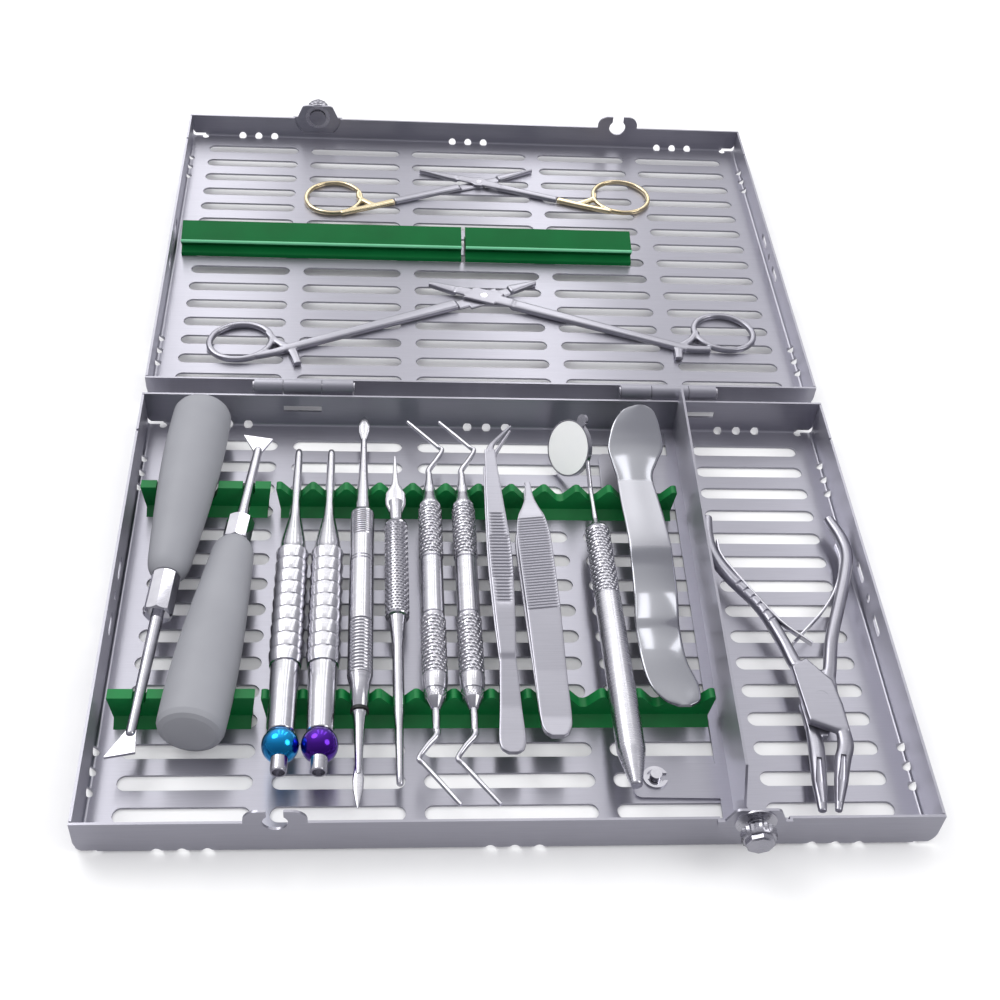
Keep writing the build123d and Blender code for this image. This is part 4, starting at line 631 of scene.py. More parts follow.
# %% The grip tree
def grip_tree():
    tree = bpy.data.node_groups.new("studs round an axis", "GeometryNodeTree")
    sockets = {}
    for name, kind in (
        ("Start", "NodeSocketVector"), ("Stop", "NodeSocketVector"), ("Start Radius", "NodeSocketFloat"),
        ("Stop Radius", "NodeSocketFloat"), ("Rows", "NodeSocketInt"), ("Per Row", "NodeSocketInt"),
        ("Size", "NodeSocketVector"), ("Stagger", "NodeSocketFloat"), ("Jitter", "NodeSocketFloat"),
        ("Form", "NodeSocketObject"), ("Material", "NodeSocketMaterial"),
    ):
        sockets[name] = tree.interface.new_socket(name, in_out="INPUT", socket_type=kind)
    tree.interface.new_socket("Geometry", in_out="OUTPUT", socket_type="NodeSocketGeometry")
    given = add(tree, "NodeGroupInput").outputs
    total = add(
        tree, "ShaderNodeMath", {0: given["Rows"], 1: given["Per Row"]}, operation="MULTIPLY",
    ).outputs[0]
    points = add(tree, "GeometryNodePoints", {"Count": total}).outputs[0]
    index = add(tree, "GeometryNodeInputIndex").outputs[0]
    turns = add(tree, "ShaderNodeMath", {0: index, 1: given["Per Row"]}, operation="DIVIDE").outputs[0]
    row = add(tree, "ShaderNodeMath", {0: turns}, operation="FLOOR").outputs[0]
    last = add(tree, "ShaderNodeMath", {0: given["Rows"], 1: 1.0}, operation="SUBTRACT").outputs[0]
    share = add(tree, "ShaderNodeMath", {0: row, 1: last}, operation="DIVIDE").outputs[0]
    shift = add(tree, "ShaderNodeMath", {0: row, 1: given["Stagger"]}, operation="MULTIPLY").outputs[0]
    shift = add(tree, "ShaderNodeMath", {0: shift, 1: given["Per Row"]}, operation="DIVIDE").outputs[0]
    wobble = add(tree, "FunctionNodeRandomValue", {2: -1.0, 3: 1.0, "Seed": 7}).outputs[1]
    wobble = add(tree, "ShaderNodeMath", {0: wobble, 1: given["Jitter"]}, operation="MULTIPLY").outputs[0]
    around = add(tree, "ShaderNodeMath", {0: turns, 1: shift}, operation="ADD").outputs[0]
    around = add(tree, "ShaderNodeMath", {0: around, 1: wobble}, operation="ADD").outputs[0]
    angle = add(tree, "ShaderNodeMath", {0: around, 1: math.tau}, operation="MULTIPLY").outputs[0]
    cos = add(tree, "ShaderNodeMath", {0: angle}, operation="COSINE").outputs[0]
    sin = add(tree, "ShaderNodeMath", {0: angle}, operation="SINE").outputs[0]
    outward = add(tree, "ShaderNodeCombineXYZ", {0: cos, 2: sin}).outputs[0]
    middle = add(
        tree, "ShaderNodeMix", {0: share, 4: given["Start"], 5: given["Stop"]}, data_type="VECTOR",
    ).outputs[1]
    radius = add(
        tree, "ShaderNodeMix", {0: share, 2: given["Start Radius"], 3: given["Stop Radius"]},
        data_type="FLOAT",
    ).outputs[0]
    reach = add(tree, "ShaderNodeVectorMath", {0: outward, "Scale": radius}, operation="SCALE").outputs[0]
    spot = add(tree, "ShaderNodeVectorMath", {0: middle, 1: reach}, operation="ADD").outputs[0]
    spread = add(tree, "GeometryNodeSetPosition", {"Geometry": points, "Position": spot}).outputs[0]
    axis = add(
        tree, "ShaderNodeVectorMath", {0: given["Stop"], 1: given["Start"]}, operation="SUBTRACT",
    ).outputs[0]
    facing = add(
        tree, "FunctionNodeAxesToRotation", {0: outward, 1: axis}, primary_axis="Z", secondary_axis="Y",
    ).outputs[0]
    form = add(tree, "GeometryNodeObjectInfo", {"Object": given["Form"]}).outputs["Geometry"]
    studs = add(
        tree, "GeometryNodeInstanceOnPoints",
        {"Points": spread, "Instance": form, "Rotation": facing, "Scale": given["Size"]},
    ).outputs[0]
    real = add(tree, "GeometryNodeRealizeInstances", {0: studs}).outputs[0]
    coated = add(
        tree, "GeometryNodeSetMaterial", {"Geometry": real, "Material": given["Material"]},
    ).outputs[0]
    add(tree, "NodeGroupOutput", {0: coated})
    return tree, {name: socket.identifier for name, socket in sockets.items()}


GRIP_TREE, GRIP_INPUTS = grip_tree()
print("grip tree inputs:", list(GRIP_INPUTS))


# %% The forms that a grip repeats
def form(name, build):
    mesh = bpy.data.meshes.new(name)
    shape = bmesh.new()
    build(shape)
    shape.to_mesh(mesh)
    shape.free()
    made = bpy.data.objects.new(name, mesh)
    return made


def pyramid(shape):
    bmesh.ops.create_cone(shape, segments=4, radius1=0.55, radius2=0.08, depth=1.0, cap_ends=True)


def bead(shape):
    """The upper part of a low ball."""
    bmesh.ops.create_uvsphere(shape, u_segments=8, v_segments=6, radius=0.5)
    hidden = [vertex for vertex in shape.verts if vertex.co.z < -0.1]
    bmesh.ops.delete(shape, geom=hidden, context="VERTS")


PYRAMID = form("pyramid", pyramid)
BEAD = form("bead", bead)


def studs(name, start, stop, radii, rows, per_row, size, shape, material, stagger=0.5, jitter=0.0):
    """Run the grip tree once and keep its mesh. Points and sizes are in millimetres."""
    holder = bpy.data.objects.new(name, bpy.data.meshes.new(name))
    bpy.context.scene.collection.objects.link(holder)
    run = holder.modifiers.new("grip", "NODES")
    run.node_group = GRIP_TREE
    values = {
        "Start": Vector(start) * MM, "Stop": Vector(stop) * MM, "Start Radius": radii[0] * MM,
        "Stop Radius": radii[1] * MM, "Rows": rows, "Per Row": per_row, "Size": Vector(size) * MM,
        "Stagger": stagger, "Jitter": jitter, "Form": shape, "Material": material,
    }
    for label, value in values.items():
        run[GRIP_INPUTS[label]] = value
    baked(holder, material)
    holder.data.shade_smooth()
    holder.data.set_sharp_from_angle(angle=math.radians(35))
    return holder


def joined(name, parts, material):
    """Several finished meshes as one."""
    whole = bmesh.new()
    for part in parts:
        whole.from_mesh(part.data)
        bpy.data.objects.remove(part)
    mesh = bpy.data.meshes.new(name)
    whole.to_mesh(mesh)
    whole.free()
    mesh.materials.append(material)
    mesh.shade_smooth()
    mesh.set_sharp_from_angle(angle=math.radians(38))
    made = bpy.data.objects.new(name, mesh)
    bpy.context.scene.collection.objects.link(made)
    return made


# %% [markdown]
# ## Curettes
# A curette has a hollow steel handle with two beaded zones round a plain middle, a short knurled cone
# towards its front end, and two thin hooks. The beads are rows of low domes on the handle's core,
# each row turned a little against the next, which is how the rolled pattern looks. The real ones are
# finer. They are drawn coarser here so that they show.

# %% Curette handles
BEAD_ZONES = ((-63.4, -88.2), (-118.8, -144.0))
BEAD_PITCH = 1.55
BEAD_SIZE = (2.6, 1.6, 0.95)
BEAD_CORE = 4.12
CURETTE_PROFILE = [
    (
        -43.0, 1.25,
    ), (-46.5, 1.5), (-50.5, 2.1), (-53.0, 2.5), (-54.2, 2.2), (-55.4, 2.6), (-58.0, 3.2), (-60.6, 4.1),
    (-62.0, 4.5), (-62.8, 4.4), (
        -63.2, BEAD_CORE,
    ), (-88.6, BEAD_CORE), (-88.9, 4.2), (-89.5, 4.2), (-89.7, 3.7),
    (-90.2, 3.7), (-90.4, 4.2), (-116.8, 4.2), (-117.0, 3.7), (-117.5, 3.7), (-117.7, 4.2), (-118.3, 4.2),
    (-118.6, BEAD_CORE), (-144.4, BEAD_CORE), (-144.8, 4.5), (-145.4, 4.6), (-151.0, 4.05), (-151.3, 3.7),
    (-154.4, 3.3), (
        -154.7, 3.45,
    ), (-158.4, 1.75), (-158.8, 1.4), (-159.3, 1.4), (-159.6, 1.6), (-167.5, 1.25),
]
for side in ("left", "right"):
    axis = axis_of(f"curette_{side}_handle")
    parts = [piece(f"curette_{side}_core", *lathe(axis, CURETTE_PROFILE), handle_steel)]
    for start, stop in BEAD_ZONES:
        rows = round(abs(stop - start) / BEAD_PITCH)
        parts.append(studs(
            "beads", on_axis(axis, start - 0.6), on_axis(axis, stop + 0.6), (BEAD_CORE, BEAD_CORE), rows, 10,
            BEAD_SIZE, BEAD, handle_steel, stagger=0.37, jitter=0.006,
        ))
    parts.append(studs(
        "cone", on_axis(axis, -151.7), on_axis(axis, -154.0), (3.65, 3.35), 4, 20, (0.9, 0.9, 0.4), PYRAMID,
        handle_steel,
    ))
    install(joined(f"curette_{side}_grip", parts, handle_steel), f"{side}_curette", f"curette_{side}_handle")


# %% Curette hooks
def hook(axis, start_y, bend, tip, radii):
    """A polished working end: out of the handle, round an easy bend and up to the tip."""
    root = on_axis(axis, start_y)
    ahead = (on_axis(axis, start_y + math.copysign(5.0, bend[1])) - root)
    points = [root - ahead * 0.4, root + ahead * 0.3, root + Vector(bend) * 0.55, root + Vector(bend)]
    points += [root + Vector(bend).lerp(Vector(tip), 0.12), root + Vector(bend).lerp(Vector(tip), 0.55)]
    points += [root + Vector(tip)]
    return sweep(points, radii, radii, step=0.5, sides=16)


for side in ("left", "right"):
    axis = axis_of(f"curette_{side}_handle")
    thick = [2.4, 2.4, 2.1, 1.9, 1.8, 1.7, 1.5]
    rear = hook(axis, -42.6, (5.5, 13.0, 0), (-8.1, 28.4, 1.0), thick)
    front = hook(axis, -167.9, (-6.0, -10.6, 0), (7.2, -29.0, 1.0), thick)
    install(
        piece(f"curette_{side}_rear_hook", *rear, tip_steel), f"{side}_curette", f"curette_{side}_rear_end",
    )
    install(
        piece(f"curette_{side}_front_hook", *front, tip_steel), f"{side}_curette",
        f"curette_{side}_front_end",
    )

# %% [markdown]
# ## Osteotomes
# Each osteotome's grip is a row of low barrels. Every barrel is turned with a sharp shoulder towards the
# tip, and the whole grip then loses a flat strip on top. The tail is plain and polished.

# %% Osteotome grips
GRIP_START, GRIP_STOP, BARRELS = -85.9, -141.0, 9
for colour_name, body in (("blue", "blue_osteotome"), ("violet", "violet_osteotome")):
    node = f"osteotome_{colour_name}"
    axis = axis_of(node)
    profile = [
        (-28.5, 1.0), (-29.2, 1.3), (-31.0, 1.55), (-50.0, 1.75), (-61.0, 1.95), (-66.5, 2.2), (-70.0, 2.8),
    ]
    profile += [(-75.0, 3.7), (-80.0, 4.5), (-83.4, 4.9), (-85.4, 5.05)]
    pitch = (GRIP_STOP - GRIP_START) / BARRELS
    for barrel in range(BARRELS):
        y = GRIP_START + barrel * pitch
        profile += [(y, 5.25), (y + 0.04 * pitch, 5.3), (y + 0.1 * pitch, 5.95), (y + 0.16 * pitch, 6.05)]
        profile += [(y + 0.5 * pitch, 5.85), (y + 0.96 * pitch, 5.5)]
    profile += [(GRIP_STOP, 5.0), (-141.8, 5.15), (-153.0, 4.9), (-169.2, 4.7), (-169.55, 4.5), (-169.6, 2.8)]
    profile += [(-184.6, 2.8), (-185.2, 2.6), (-185.2, 2.1), (-183.0, 1.9)]
    made = piece(f"{node}_body", *lathe(axis, profile, sides=72, flat=5.35), handle_steel, flat_angle=28)
    install(made, body, node)

# %% [markdown]
# ## Periosteal elevator, blade handle and mirror handle
# Three more handles from the same lathe. The elevator has two zones of fine rings, the blade handle a
# diamond knurl behind a flared jaw, and the mirror's hollow handle a beaded zone and a long cone.

# %% Periosteal elevator
def ringed(start, stop, radius, pitch, depth):
    """Round rings from start to stop, towards the front."""
    stations = []
    for ring in range(round((start - stop) / pitch)):
        y = start - ring * pitch
        stations += [
            (y, radius - depth), (y - 0.25 * pitch, radius - 0.25 * depth), (y - 0.5 * pitch, radius),
        ]
        stations += [(y - 0.75 * pitch, radius - 0.25 * depth)]
    return stations + [(stop, radius - depth)]


axis = axis_of("periosteal_elevator")
profile = [
    (-24.0, 1.15), (-32.0, 1.35), (-40.0, 1.7), (-47.0, 2.0), (-52.8, 2.5), (-60.0, 2.85), (-64.3, 2.85),
]
profile += [(-65.0, 3.9), (-66.0, 4.4)] + ringed(-66.4, -78.6, 4.5, 1.1, 0.35) + [(-79.0, 4.5), (-89.6, 4.5)]
profile += [
    (-89.8, 4.1), (-90.1, 4.1), (-90.3, 4.5), (-91.0, 4.5), (-91.2, 4.1), (-91.5, 4.1), (-91.7, 4.5),
    (-120.0, 4.5),
]
profile += ringed(-120.3, -143.8, 4.5, 1.5, 0.4) + [
    (-144.2, 4.4), (-147.6, 3.6), (-157.6, 2.8), (-158.0, 2.45),
]
profile += [
    (-159.2, 2.45), (-159.6, 2.7), (-161.5, 2.2), (-165.0, 1.9), (-172.0, 1.6), (-180.0, 1.3), (-184.0, 1.1),
]
parts = [piece("periosteal_core", *lathe(axis, profile), handle_steel)]
spoon = [on_axis(axis, y) for y in (-26.0, -22.5, -19.0, -15.5, -12.0, -10.0)]
spoon_widths, spoon_heights = [2.0, 3.2, 4.6, 4.9, 3.6, 0.6], [1.8, 1.5, 1.2, 1.2, 1.0, 0.4]
parts.append(piece("spoon", *sweep(spoon, spoon_widths, spoon_heights, step=0.6), tip_steel))
leaf = [on_axis(axis, y) for y in (-178.0, -182.0, -186.0, -190.0, -194.0, -197.0)]
leaf_widths, leaf_heights = [2.3, 3.0, 3.8, 3.4, 1.9, 0.3], [2.2, 1.7, 1.3, 1.1, 0.8, 0.3]
parts.append(piece("leaf", *sweep(leaf, leaf_widths, leaf_heights, step=0.6), tip_steel))
install(joined("periosteal_body", parts, handle_steel), "periosteal", "periosteal_elevator")

# %% Blade handle
axis = axis_of("blade_handle")
profile = [(-60.4, 3.0), (-64.0, 2.6), (-70.4, 2.4), (-70.8, 3.3), (-71.6, 4.2), (-72.4, 4.4), (-73.0, 3.95)]
profile += [(-115.8, 3.95), (-116.2, 4.3), (-116.7, 4.1), (-117.0, 3.25), (-124.0, 2.5), (-131.0, 2.0)]
profile += [(-157.0, 2.0), (-164.0, 1.5), (-180.0, 1.3), (-185.6, 1.2), (-186.3, 0.9)]
parts = [piece("blade_handle_core", *lathe(axis, profile), handle_steel)]
parts.append(studs(
    "knurl", on_axis(axis, -73.4), on_axis(axis, -115.5), (4.05, 4.05), 34, 18, (
        1.9, 1.75, 0.8,
    ), PYRAMID, handle_steel,
))
jaw = [on_axis(axis, y) for y in (-35.3, -42.0, -48.5, -51.0, -55.5, -58.5, -61.6, -66.0)]
jaw_width = [0.8, 1.6, 2.4, 3.2, 7.8, 8.2, 8.0, 5.0]
jaw_height = [0.8, 1.3, 1.8, 2.2, 2.6, 2.8, 2.8, 3.4]
parts.append(
    piece("jaw", *sweep(jaw, jaw_width, jaw_height, step=0.8, power=3.0), handle_steel, flat_angle=25),
)
install(joined("blade_handle_body", parts, handle_steel), "scalpel_handle", "blade_handle")

# %% Mirror handle
axis = axis_of("mirror_handle")
profile = [
    (-66.7, 1.2), (-69.5, 2.0), (-70.8, 2.6), (-71.8, 4.2), (-73.2, 4.8), (-73.8, 4.42), (-107.2, 4.42),
]
profile += [
    (-107.6, 4.8), (-108.2, 4.9), (-150.0, 4.9), (-177.0, 4.9), (-178.2, 4.7), (-184.8, 3.3), (-190.4, 2.1),
]
profile += [(-191.0, 2.0), (-191.3, 1.7)]
parts = [piece("mirror_handle_core", *lathe(axis, profile), fine_steel)]
parts.append(studs(
    "beads", on_axis(axis, -74.8), on_axis(axis, -106.2), (4.42, 4.42), 21, 11, BEAD_SIZE, BEAD, fine_steel,
    stagger=0.41, jitter=0.006,
))
install(joined("mirror_handle_body", parts, fine_steel), "mouth_mirror", "mirror_handle")

# %% [markdown]
# ## Sprung arms
# Tweezers and tissue forceps are two strips of sprung sheet. Each arm is a row of rounded cross-sections
# along Y whose height follows the CAD strip, found by a ray from above or below. Where the fingers hold
# it, cross ribs rise from the top face, so the rows stand close together there.

# %% Reading a surface of a CAD node
def surface_z(node, x, y, side):
    """Height in millimetres where a vertical ray meets a CAD node, from above (1) or from below (-1)."""
    RAY_HEIGHT = 0.2
    start = Vector((x * MM, y * MM, side * RAY_HEIGHT))
    hit, spot = NODES[node].ray_cast(start, Vector((0, 0, -side)))[:2]
    return spot.z / MM if hit else None


def underside_line(node, plan, middle):
    """(Y, height) points on a strip's underside, a straight fit where the ray meets another feature."""
    line = []
    for y, offset, _ in plan[1:-1]:
        line.append((y, surface_z(node, middle + offset, y, -1)))
    slope_rear = (line[1][1] - line[0][1]) / (line[1][0] - line[0][0])
    slope_front = (line[-1][1] - line[-2][1]) / (line[-1][0] - line[-2][0])
    rear = (plan[0][0], line[0][1] + slope_rear * (plan[0][0] - line[0][0]))
    front = (plan[-1][0], line[-1][1] + slope_front * (plan[-1][0] - line[-1][0]))
    return [rear] + line + [front]


# %% Strip arms
def strip_rows(plan, line, thick, ribs=None, step=1.0):
    """Stations of a strip: where along Y, where across, how wide, how high and how thick, closer over its
    ribs.
    """
    start, stop = plan[0][0], plan[-1][0]
    ys = np.arange(start, stop, -step)
    if ribs:
        fine = np.arange(ribs[0], ribs[1], -ribs[2] / 8)
        ys = np.concatenate([ys[ys > ribs[0]], fine, ys[ys < ribs[1]]])
    ys = np.append(ys, stop)
    edges = sorted(tuple(s) for s in smooth_path(plan, 1.0))
    across = np.array(edges)
    heights = np.array(sorted(line))
    rows = []
    for y in ys:
        middle = np.interp(y, across[:, 0], across[:, 1])
        width = max(np.interp(y, across[:, 0], across[:, 2]), 0.4)
        rows.append((y, middle, width, np.interp(y, heights[:, 0], heights[:, 1]), thick))
    return rows


def strip_mesh(middle_x, rows, ribs=None, skew=0.0, edge=0.35, across=10, belly=0.0, margin=0.8):
    """Closed strip with rounded edges. Its ribs stop short of the edges and may run askew."""
    vertices = []
    for y, offset, width, base, thick in rows:
        half = width / 2
        round_edge = min(edge, half * 0.45, thick * 0.45)
        top = [(-half, thick - round_edge), (-half + 0.3 * round_edge, thick - 0.3 * round_edge)]
        for k in range(across + 1):
            x = -half + round_edge + (width - 2 * round_edge) * k / across
            rise = thick + belly * (1 - (x / half) ** 2)
            if ribs and ribs[1] < y - skew * x < ribs[0] and abs(x) < half - margin:
                rise += ribs[3] * (math.cos(math.tau * (ribs[0] - y + skew * x) / ribs[2]) - 1) / 2
            top.append((x, rise))
        top += [(half - 0.3 * round_edge, thick - 0.3 * round_edge), (half, thick - round_edge)]
        low = [(half, round_edge), (half - round_edge, 0), (-half + round_edge, 0), (-half, round_edge)]
        vertices += [(middle_x + offset + x, y, base + z) for x, z in top + low]
    return vertices, rings_to_faces(len(rows), len(vertices) // len(rows))


# %% Tweezers
VALLEY_X = [-76.5 + 12.86 * number for number in range(12)]
TWEEZER_PLAN = [
    (-41.5, -2.3, 4.0), (-52.3, -2.0, 5.0), (-70.0, -1.4, 6.8), (-92.0, -0.6, 8.5), (-118.0, -0.3, 7.4),
    (-137.0, -0.1, 5.8), (-141.0, -0.1, 6.0), (-158.0, -0.1, 7.6), (-170.0, -0.2, 9.0), (-174.4, -0.2, 7.6),
    (-175.9, -0.2, 3.6),
]
TWEEZER_RIBS = (-73.6, -115.5, 1.5, 0.34)
for level, sign in (("lower", 1), ("upper", -1)):
    node = f"tweezers_{level}_arm"
    line = underside_line(node, TWEEZER_PLAN, VALLEY_X[6])
    ribs = TWEEZER_RIBS if level == "upper" else None
    rows = strip_rows(TWEEZER_PLAN, line, 1.2, ribs)
    if level == "upper":
        # A short step down, where the finger part ends and the sprung tail begins.
        rows = [(y, x, w, z, t - 0.5 * min(1.0, max(0.0, (-137.4 - y) / 0.4))) for y, x, w, z, t in rows]
    arm = strip_mesh(VALLEY_X[6], rows, ribs, margin=1.1)
    root = Vector((VALLEY_X[6] - 2.3, -42.5, line[0][1] + 0.6))
    tip = [root, root + Vector((0.1, 1.4, 0)), root + Vector((1.2, 4.5, sign * 0.2))]
    tip += [root + Vector((4.6, 10.5, sign * 1.6)), root + Vector((9.5, 18.6, sign * 3.6))]
    point = sweep(tip, [3.8, 2.9, 2.1, 1.6, 0.9], [1.2, 1.3, 1.5, 1.3, 0.8], step=0.7, power=2.6)
    install(piece(node + "_bent", *merged([arm, point]), arm_steel), "tweezers", node)

# %% Tissue forceps
FORCEPS_PLAN = [
    (-51.0, -0.3, 2.2), (-60.0, -0.4, 3.2), (-66.5, -0.5, 6.0), (-72.0, -0.5, 9.8), (-78.0, -0.45, 12.0),
    (-86.0, -0.2, 12.8), (-118.0, 0.7, 12.2), (-145.0, 1.4, 11.2), (-164.0, 1.9, 10.8), (-169.4, 2.0, 8.6),
    (-171.3, 2.0, 4.6),
]
FORCEPS_RIBS = (-73.6, -119.0, 1.35, 0.34)
for level in ("lower", "upper"):
    node = f"tissue_forceps_{level}_arm"
    line = underside_line(node, FORCEPS_PLAN, VALLEY_X[7])
    ribs = FORCEPS_RIBS if level == "upper" else None
    rows = strip_rows(
        FORCEPS_PLAN, line, 1.2,
        (FORCEPS_RIBS[0] + 1, FORCEPS_RIBS[1] - 1, FORCEPS_RIBS[2]) if ribs else None,
    )
    arm = strip_mesh(VALLEY_X[7], rows, ribs, skew=0.12, margin=0.9, across=14)
    install(piece(node + "_bent", *arm, arm_steel), "tissue_forceps", node)

# %% [markdown]
# ## Cheek retractor
# The retractor is one bent plate, polished all over but for a satin field in its middle. The field is painted
# lighter and the polished rest darker, a painted reflection. Its edges are rounded, and it is crowned across,
# which is what draws the long highlights down its middle.

# %% Retractor
RETRACTOR_PLAN = [
    (-12.4, 9.5, 5.0), (
        -13.4, 8.9, 10.4,
    ), (-15.5, 8.3, 14.6), (-21.0, 7.3, 19.4), (-30.5, 6.3, 22.6), (-38.0, 5.1, 18.8),
    (-47.0, 4.1, 14.6), (-61.0, 4.8, 15.4), (-83.0, 6.1, 16.2), (-104.0, 6.1, 16.6),
    (-124.0, 3.7, 16.2), (-138.0, 3.6, 16.2), (-149.0, 6.1, 17.2), (-155.5, 8.1, 12.6), (-157.9, 8.7, 5.0),
]
RETRACTOR_REST = 13.3
RETRACTOR_LINE = [
    (-12.4, 6.7), (-18.5, 4.7), (-26.0, 2.3), (-33.0, 0.7), (-42.0, 0.1), (-58.0, 0.0), (-72.0, 0.0), (
        -83.0, -0.8,
    ),
    (-92.0, -3.2), (
        -104.0, -4.8,
    ), (-115.0, -3.6), (-124.0, -0.6), (-131.0, 0.9), (-138.0, 1.0), (-149.0, 0.2), (-158.0, 0.0),
]
heights = smooth_path([(y, RETRACTOR_REST + rise, 0) for y, rise in RETRACTOR_LINE], 1.0)
rows = strip_rows(RETRACTOR_PLAN, [(h[0], h[1]) for h in heights], 1.0, step=0.8)
plate = piece(
    "retractor_plate", *strip_mesh(VALLEY_X[10], rows, edge=0.45, across=24, belly=0.55), retractor_steel,
)
install(plate, "cheek_retractor", "retractor")

# %% [markdown]
# ## Ring-handled pairs
# Needle holder and scissors are forged halves. Each half is a finger ring, two struts that run into a
# shank, a flat part that laps over the other half, and a jaw. They are drawn flat from plan points, as
# the CAD halves lie, and welded. Inside the lap each half keeps to its own half of the thickness, and
# the hole for the screw is bored last.

# %% Flat forgings
def bar(points, widths, low, high, power=3.2, step=1.0):
    """A squarish bar through plan points, between two heights or one pair of heights per point."""
    lows = low if isinstance(low, (list, tuple)) else [low] * len(points)
    highs = high if isinstance(high, (list, tuple)) else [high] * len(points)
    line = [(x, y, (a + b) / 2) for (x, y), a, b in zip(points, lows, highs)]
    return sweep(line, widths, [b - a for a, b in zip(lows, highs)], step=step, power=power)


def slab(corners, low, high, bevel):
    """A flat plate from plan corners with its edges broken above and below."""
    count = len(corners)
    corners = [Vector((x, y, 0)) for x, y in corners]
    middle = sum(corners, Vector()) / count
    shrunk = [point + (middle - point).normalized() * bevel * 1.3 for point in corners]
    vertices = []
    for ring, z in ((shrunk, low), (corners, low + bevel), (corners, high - bevel), (shrunk, high)):
        vertices += [Vector((point.x, point.y, z)) for point in ring]
    return vertices, rings_to_faces(4, count)


def cut(made, tools, material):
    """Subtract simple tool shapes from a finished piece."""
    tool = piece("tool", *merged(tools), material)
    take = made.modifiers.new("cut", "BOOLEAN")
    take.object = tool
    take.solver = "MANIFOLD"
    baked(made, material)
    bpy.data.objects.remove(tool)
    made.data.shade_smooth()
    made.data.set_sharp_from_angle(angle=math.radians(40))
    return made


def pin(centre, radius, low, high, sides=32):
    """An upright cylinder."""
    vertices = []
    for z in (low, high):
        for side in range(sides):
            angle = math.tau * side / sides
            vertices.append(
                Vector((centre[0] + radius * math.cos(angle), centre[1] + radius * math.sin(angle), z)),
            )
    return vertices, rings_to_faces(2, sides)


def lap_bar(points, widths, pivot, low, high, lap, upper):
    """A bar whose height halves inside the lap round the pivot."""
    line = smooth_path([(x, y, 0) for x, y in points], 1.0)
    marks, shares = lengths_along([(x, y, 0) for x, y in points]), lengths_along(line)
    spread = np.interp(shares, marks, widths)
    middle = (low + high) / 2
    LAP_GAP = 0.05
    plan, lows, highs = [], [], []
    for point in line:
        inside = (point - Vector((pivot[0], pivot[1], 0))).length < lap
        plan.append((point.x, point.y))
        lows.append(middle + LAP_GAP if inside and upper else low)
        highs.append(middle - LAP_GAP if inside and not upper else high)
    return bar(plan, list(spread), lows, highs, power=3.6, step=2.0)


# %% Needle holder
LID_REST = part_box("needle_holder_left")[0][2] / MM
NEEDLE_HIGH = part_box("needle_holder_left")[1][2] / MM
NEEDLE_PIVOT, NEEDLE_LAP = (2.2, 73.9), 13.5
NEEDLE_MID = (LID_REST + NEEDLE_HIGH) / 2


def lock_plate(pivot, towards, low, high, reach, half_width):
    """The slanted box-lock plate, a parallelogram along the shank."""
    along = (Vector((*towards, 0)) - Vector((*pivot, 0))).normalized()
    side = Vector((-along.y, along.x, 0))
    middle = Vector((*pivot, 0))
    corners = []
    for a, b in ((-1, -1), (0.72, -1), (1, 1), (-0.72, 1)):
        spot = middle + along * (a * reach) + side * (b * half_width)
        corners.append((spot.x, spot.y))
    return slab(corners, low, high, 0.35)


def needle_half(name, ring, angle, sizes, struts, ratchet, shank, tip, upper, body, bore):
    shapes = [oval_ring((*ring, NEEDLE_MID), *sizes, angle, 2.8, NEEDLE_HIGH - LID_REST - 0.1)]
    for points, widths in struts:
        shapes.append(bar(points, widths, LID_REST + 0.1, NEEDLE_HIGH - 0.1))
    shapes.append(bar(*ratchet, LID_REST + 0.3, NEEDLE_HIGH - 0.3))
    line = [shank, tuple(np.array(shank) * 0.6 + np.array(NEEDLE_PIVOT) * 0.4), NEEDLE_PIVOT]
    line += [tuple(np.array(tip) * 0.55 + np.array(NEEDLE_PIVOT) * 0.45), tip]
    shapes.append(
        lap_bar(line, [4.2, 4.7, 6.4, 5.2, 2.2], NEEDLE_PIVOT, LID_REST, NEEDLE_HIGH, NEEDLE_LAP, upper),
    )
    low, high = (NEEDLE_MID + 0.05, NEEDLE_HIGH) if upper else (LID_REST, NEEDLE_MID - 0.05)
    shapes.append(lock_plate(NEEDLE_PIVOT, tip, low, high, 8.6, 4.5))
    made = forged(name, shapes, arm_steel, voxel=0.25)
    return install(cut(made, [pin(NEEDLE_PIVOT, bore, 0, 20)], arm_steel), body, name.replace("_forged", ""))


needle_half(
    "needle_holder_left_forged", (-104.4, 39.7), 20, (14.8, 12.8),
    [
        ([(-97.5, 30.4), (-90.0, 32.8), (-83.0, 36.2)], [3.2, 3.4, 4.2]),
        ([(-93.2, 46.0), (-90.0, 41.0), (-85.0, 36.6)], [3.0, 3.0, 4.0]),
    ],
    ([(-83.0, 36.6), (-81.0, 31.0), (-79.4, 25.6)], [4.4, 3.8, 3.6]),
    (-86.0, 34.9), (26.5, 85.0), False, "needle_holder_lower_half", 1.85,
)
needle_half(
    "needle_holder_right_forged", (109.2, 52.0), -16, (14.8, 13.2),
    [
        ([(101.6, 40.2), (94.0, 40.2), (87.0, 41.4)], [3.2, 3.4, 4.2]),
        ([(97.0, 52.0), (93.6, 46.4), (89.0, 42.2)], [3.0, 3.0, 4.0]),
    ],
    ([(87.0, 42.4), (86.8, 37.4), (86.5, 33.4)], [4.4, 3.8, 3.6]),
    (90.6, 40.3), (-22.4, 82.6), True, "needle_holder_upper_half", 1.9,
)

# %% Scissors
SCISSOR_REST, SCISSOR_HIGH = (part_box("scissors_left")[k][2] / MM for k in (0, 1))
SCISSOR_PIVOT, SCISSOR_LAP = (4.0, 165.2), 10.5
SCISSOR_MID = (SCISSOR_REST + SCISSOR_HIGH) / 2


